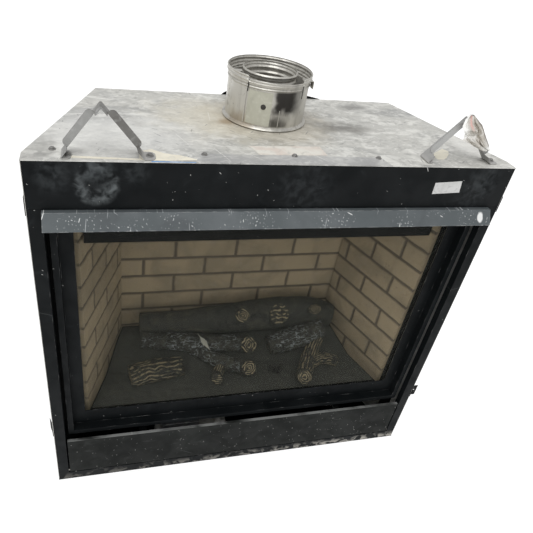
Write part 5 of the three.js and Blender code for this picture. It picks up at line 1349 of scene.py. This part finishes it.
def log(name, corners, wide, tall, kind, material, replaces=(), seed=0, ends=(1.0, 1.0), rows=150,
        columns=110):
    """A log as one closed surface of two parameters, the share along it and the angle round it. Its radii run
    through the wide and tall values; bark pushes the wall out or in; each end is a disc with growth rings,
    brushed as far as ends says. Nothing goes below the bed."""
    path = smooth_path(corners, rows)
    run = np.gradient(path, axis=0)
    run /= np.linalg.norm(run, axis=1, keepdims=True)
    side = np.cross(run, [0, 0, 1.0])
    side /= np.linalg.norm(side, axis=1, keepdims=True)
    over = np.cross(side, run)
    t = np.linspace(0, 1, rows)[:, None]
    angle = np.linspace(0, 2 * np.pi, columns, endpoint=False)[None, :]
    given = np.linspace(0, 1, len(wide))
    radius_wide = np.interp(t, given, wide)
    radius_tall = np.interp(t, given, tall)
    length = np.linalg.norm(np.diff(path, axis=0), axis=1).sum()
    mean = (np.mean(wide) + np.mean(tall)) / 2
    q = [mean * np.cos(angle) + 0 * t, mean * np.sin(angle) + 0 * t, length * t + 0 * angle]
    q = np.stack(q, axis=-1) + seed
    height, brushed, ashed = bark(kind, q, angle + 0 * t)
    swell = 0.06 * value_noise(q * 14 + 2, seed + 1)
    reach_wide = (radius_wide * (1 + swell) + height) * np.cos(angle)
    reach_tall = (radius_tall * (1 + swell) + height) * np.sin(angle)
    wall = path[:, None, :] + reach_wide[..., None] * side[:, None] + reach_tall[..., None] * over[:, None]
    shares = np.array([0.03, *np.linspace(0.10, 0.87, 12), 0.93, 0.97])
    discs = []
    for end, sign in ((0, -1), (-1, 1)):
        rim = wall[end]
        centre = path[end] + sign * run[end] * 0.002
        order = shares if sign < 0 else shares[::-1]
        ring = centre + (rim[None] - centre) * order[:, None, None]
        grain = np.cos(order[:, None] * 17 + 1.8 * value_noise(ring * 70, seed + 2))
        out = sign * run[end] * 0.0014
        ring = ring + (grain * 0.6)[..., None] * out * (order < 0.95)[:, None, None]
        bright = ends[0] if sign < 0 else ends[1]
        discs.append((ring, bright * rise(grain, 0.1, 0.8)))
    points = np.concatenate([discs[0][0], wall, discs[1][0]])
    zero = np.zeros((len(shares), columns))
    brushed = np.concatenate([discs[0][1], brushed, discs[1][1]])
    ashed = np.concatenate([zero, ashed, zero])
    points[..., 2] = np.maximum(points[..., 2], platform_level(points[..., 1]) + 0.0006)
    new_piece(name, points, capped(*points.shape[:2]), "casing", "log", material, replaces, sharp=70,
              brushed=brushed, ashed=ashed)


def cut_end(name, centre, out, radius, style="rings", seed=0, tall=1.0):
    """The sawn end of a branch: a domed face whose brushed waves run as growth rings, cos of the radius, or
    as grooves, cos of the height, and a skirt of bark that goes back into the log."""
    out = np.array(out) / np.linalg.norm(out)
    side = np.cross(-out, [0, 0, 1.0])
    side /= np.linalg.norm(side)
    over = np.cross(side, -out)
    angle = np.linspace(0, 2 * np.pi, 90, endpoint=False)[None, :]
    share = np.concatenate([np.linspace(0.05, 0.93, 32), [0.97, 1.0, 1.03, 1.06, 1.1, 1.12]])[:, None]
    back = np.concatenate([np.zeros(32), [0.0004, 0.0016, 0.005, 0.010, 0.016, 0.022]])[:, None]
    around = np.stack([np.cos(angle) * 1.6, np.sin(angle) * 1.6, 0 * angle], axis=-1)
    lobes = 1 + 0.09 * value_noise(around, seed)
    reach = radius * share * lobes
    place = np.stack([reach * np.cos(angle), reach * np.sin(angle) * tall, back + 0 * angle], axis=-1)
    wander = layered_noise(place * 75, seed + 1, 3)
    if style == "rings":
        wave = np.cos(2 * np.pi * 3.3 * share + 2.6 * wander)
    else:
        wave = np.cos(2 * np.pi * 2.9 * place[..., 1] / radius + 2.2 * wander)
    on_face = (share < 0.96) & (share > 0.02 + 0 * angle)
    broken = rise(value_noise(place * 130, seed + 2), -0.75, -0.1)
    lift = 0.003 * (1 - share**2) + 0.001 * wave * on_face - back + 0.0012 * wander * ~on_face
    points = np.array(centre) + place[..., :1] * side + place[..., 1:2] * over + lift[..., None] * out
    new_piece(name, points, capped(*points.shape[:2]), "casing", "log", LOG_TAN, sharp=70,
              brushed=rise(wave, -0.1, 0.6) * on_face * broken, ashed=0 * wave)


log("log_rear", [(-0.288, 0.107, 0.3003), (-0.17, 0.102, 0.3023), (-0.075, 0.098, 0.3083),
                 (0.034, 0.096, 0.3143), (0.156, 0.096, 0.3217), (0.264, 0.096, 0.3163),
                 (0.340, 0.087, 0.303)],
    [0.031, 0.034, 0.038, 0.042, 0.0434, 0.041, 0.033],
    [0.0385, 0.041, 0.0484, 0.0546, 0.062, 0.0558, 0.0434],
    "smooth", LOG_TAN, ["rear_log"], seed=1, ends=(0.3, 0.2), rows=260, columns=150)
log("log_charred", [(-0.285, 0.063, 0.2753), (-0.156, 0.0446, 0.2683), (-0.034, 0.0348, 0.2633),
                    (0.051, 0.0286, 0.2573)],
    [0.0243, 0.0297, 0.0284, 0.027], [0.0243, 0.0284, 0.027, 0.027],
    "cracked", LOG_ASH, ["charred_log"], seed=2, ends=(0.4, 1.0), rows=190)
log("log_slanting", [(-0.136, 0.032, 0.2533), (-0.051, -0.0184, 0.2393), (0.032, -0.053, 0.2363)],
    [0.0184, 0.023, 0.023], [0.0184, 0.0219, 0.023],
    "cracked", LOG_ASH, ["slanting_log"], seed=3, ends=(0.3, 1.0), rows=130)
log("log_slanting_stub", [(-0.036, -0.022, 0.2353), (-0.061, -0.052, 0.2323), (-0.076, -0.0786, 0.2293)],
    [0.015, 0.015, 0.015], [0.015, 0.015, 0.015],
    "long", LOG_TAN, seed=4, ends=(0.3, 1.0), rows=60, columns=80)
log("log_split", [(-0.3254, -0.0422, 0.2333), (-0.251, -0.031, 0.2373), (-0.1695, -0.0184, 0.2333)],
    [0.038, 0.040, 0.0304], [0.0236, 0.0274, 0.0209],
    "long", LOG_TAN, ["split_log"], seed=5, ends=(1.0, 0.8), rows=120)
log("log_right", [(0.115, 0.018, 0.2533), (0.197, 0.0264, 0.2693), (0.298, 0.046, 0.2893)],
    [0.0323, 0.038, 0.0342], [0.0304, 0.038, 0.0342],
    "cracked", LOG_ASH, ["right_log"], seed=6, ends=(0.4, 0.3), rows=130)
log("log_forked", [(0.2034, -0.0982, 0.2373), (0.2373, -0.0352, 0.2433), (0.2814, 0.0208, 0.2653)],
    [0.024, 0.0228, 0.0204], [0.024, 0.0228, 0.0204],
    "long", LOG_TAN, ["forked_log"], seed=7, ends=(1.0, 0.3), rows=110)
log("log_fork", [(0.2305, -0.0576, 0.2373), (0.285, -0.0408, 0.2373), (0.332, -0.0492, 0.2293)],
    [0.018, 0.018, 0.0162], [0.018, 0.018, 0.0162],
    "long", LOG_TAN, seed=8, ends=(0.3, 0.8), rows=80, columns=90)

cut_end("end_rear_1", (0.0250, 0.060, 0.3520), (-0.1, -0.75, 0.65), 0.022, seed=31)
cut_end("end_rear_2", (0.1455, 0.055, 0.3540), (0.0, -0.72, 0.7), 0.034, "grooves", seed=32)
cut_end("end_rear_3", (0.2680, 0.062, 0.3590), (0.1, -0.6, 0.8), 0.023, seed=33, tall=0.7)
cut_end("end_charred", (0.0420, 0.0035, 0.2790), (0.0, -0.78, 0.62), 0.0255, seed=34)
cut_end("end_slanting", (0.0270, -0.0720, 0.2565), (0.05, -0.8, 0.6), 0.0225, seed=35)
cut_end("end_stub", (-0.0750, -0.0930, 0.2440), (-0.1, -0.85, 0.5), 0.0165, "grooves", seed=36)
cut_end("end_forked", (0.1945, -0.1215, 0.2480), (-0.1, -0.8, 0.6), 0.0225, seed=37)


def splinter():
    """A pale broken splinter on the charred log: a blade along a straight path that widens to a bell of about
    16 mm past its middle and narrows at each end."""
    t = np.linspace(0, 1, 50)[:, None]
    angle = np.linspace(0, 2 * np.pi, 20, endpoint=False)[None, :]
    path = np.stack([-0.118 + 0.036 * t, 0.034 - 0.034 * t, 0.312 - 0.040 * t], axis=-1)
    ragged = 1 + 0.4 * value_noise(np.stack([t * 12, 0 * t, 0 * t], axis=-1), 4)
    pointed = np.sin(np.pi * np.clip(t, 0.04, 0.96))
    wide = (0.0015 + 0.0065 * np.exp(-(((t - 0.55) / 0.22) ** 2))) * ragged * pointed**0.4
    thick = 0.0018 * pointed**0.5
    across = np.array([0.75, 0.5, 0.43])
    out = np.array([0.2, -0.75, 0.6])
    points = path + (wide * np.cos(angle))[..., None] * across + (thick * np.sin(angle))[..., None] * out
    new_piece("log_splinter", points, capped(*points.shape[:2]), "casing", "log", VENT_LABEL)


splinter()


# Rope gasket behind the pane


def gasket_rope():
    """The rope on the pane's rear: an oval section carried round a rectangle whose corners are quarter
    circles. Its middle line runs one inset within the solid's outline."""
    low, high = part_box("glass_gasket")
    inset, bend, spacing = 0.007, 0.03, 0.004
    steps = np.linspace(0, np.pi / 2, 12)
    corners = [(high.x, high.z, 0), (low.x, high.z, 1), (low.x, low.z, 2), (high.x, low.z, 3)]
    path = []
    for x, z, quarter in corners:
        cx = x - math.copysign(inset + bend, x)
        cz = z - (inset + bend if quarter in (0, 1) else -inset - bend)
        turned = steps + quarter * np.pi / 2
        path.append(np.stack([cx + bend * np.cos(turned), cz + bend * np.sin(turned)], axis=-1))
    path = np.concatenate(path)
    fine = []
    for a, b in zip(path, np.roll(path, -1, axis=0)):
        count = max(1, int(np.linalg.norm(b - a) / spacing))
        fine.append(a + (b - a) * np.linspace(0, 1, count, endpoint=False)[:, None])
    path = np.concatenate(fine)
    run = np.roll(path, -1, axis=0) - np.roll(path, 1, axis=0)
    run /= np.linalg.norm(run, axis=1, keepdims=True)
    out = np.stack([run[:, 1], -run[:, 0]], axis=-1)
    angle = np.linspace(0, 2 * np.pi, 16, endpoint=False)
    y = (low.y + high.y) / 2 + (high.y - low.y) / 2 * np.sin(angle)[None, :] + np.zeros((len(path), 1))
    reach = 0.0068 * np.cos(angle)[None, :]
    points = np.stack([path[:, :1] + out[:, :1] * reach, y, path[:, 1:] + out[:, 1:] * reach], axis=-1)
    new_piece("gasket_rope", points, grid_faces(*points.shape[:2], True, True), "glass_door", "rope", ROPE,
              ["glass_gasket"])


gasket_rope()


# Floor, light and camera

FLOOR_SIZE = 60.0
FLOOR_GLOW = 0.62
SKY_ON_THINGS = 0.6
SKY_IN_VIEW = 1.05
WHITE = (1.0, 1.0, 1.0, 1.0)

# The photograph's width and focal length in pixels, and the width of film that the lens is given for
PHOTO_WIDTH = 533
PHOTO_FOCAL = 531.19
FILM_WIDTH = 36.0


def pale_floor():
    """A wide level sheet in a plain pale grey that glows a little, so that no edge of it shows."""
    mesh = bpy.data.meshes.new("studio_floor")
    half = FLOOR_SIZE / 2
    corners = [(-half, -half, 0), (half, -half, 0), (half, half, 0), (-half, half, 0)]
    mesh.from_pydata(corners, [], [(0, 1, 2, 3)])
    material = bpy.data.materials.new("studio_floor")
    material.use_nodes = True
    shader = material.node_tree.nodes["Principled BSDF"]
    shader.inputs["Base Color"].default_value = (0.5, 0.5, 0.5, 1.0)
    shader.inputs["Roughness"].default_value = 0.9
    shader.inputs["Emission Color"].default_value = WHITE
    shader.inputs["Emission Strength"].default_value = FLOOR_GLOW
    mesh.materials.append(material)
    sheet = bpy.data.objects.new("studio_floor", mesh)
    bpy.context.scene.collection.objects.link(sheet)


def studio_light():
    """An even white sky, brighter where the camera sees it than where it lights things, and one broad soft
    sun."""
    world = bpy.data.worlds.new("studio light")
    world.use_nodes = True
    background = world.node_tree.nodes["Background"]
    background.inputs["Color"].default_value = WHITE
    seen = put(world.node_tree, "LightPath").outputs["Is Camera Ray"]
    sky = put(world.node_tree, "MapRange", {"Value": seen, "To Min": SKY_ON_THINGS, "To Max": SKY_IN_VIEW})
    world.node_tree.links.new(sky.outputs[0], background.inputs["Strength"])
    bpy.context.scene.world = world
    bpy.context.scene.view_settings.view_transform = "Standard"

    sun = bpy.data.lights.new("sky_window", "SUN")
    sun.energy = 1.75
    sun.angle = 1.0
    sky_window = bpy.data.objects.new("sky_window", sun)
    bpy.context.scene.collection.objects.link(sky_window)
    tilt = Matrix.Rotation(math.radians(24), 4, "X")
    sky_window.matrix_world = tilt @ Matrix.Rotation(math.radians(-16), 4, "Y")


def photo_camera():
    """The camera where the photograph was taken from, with its focal length and its frame's shift."""
    lens = bpy.data.cameras.new("photo camera")
    lens.sensor_width = FILM_WIDTH
    lens.lens = PHOTO_FOCAL / PHOTO_WIDTH * FILM_WIDTH
    lens.shift_x = 0.03865
    lens.shift_y = -0.01454
    lens.clip_start = 0.05
    lens.clip_end = 200.0
    camera = bpy.data.objects.new("photo camera", lens)
    bpy.context.scene.collection.objects.link(camera)
    camera.matrix_world = Matrix((
        (0.96433161, 0.03095108, -0.2628813, -0.39768),
        (-0.23002171, 0.58940606, -0.77439687, -1.12891),
        (0.13097541, 0.80724378, 0.57550232, 1.45743),
        (0.0, 0.0, 0.0, 1.0),
    ))
    bpy.context.scene.camera = camera


pale_floor()
studio_light()
photo_camera()
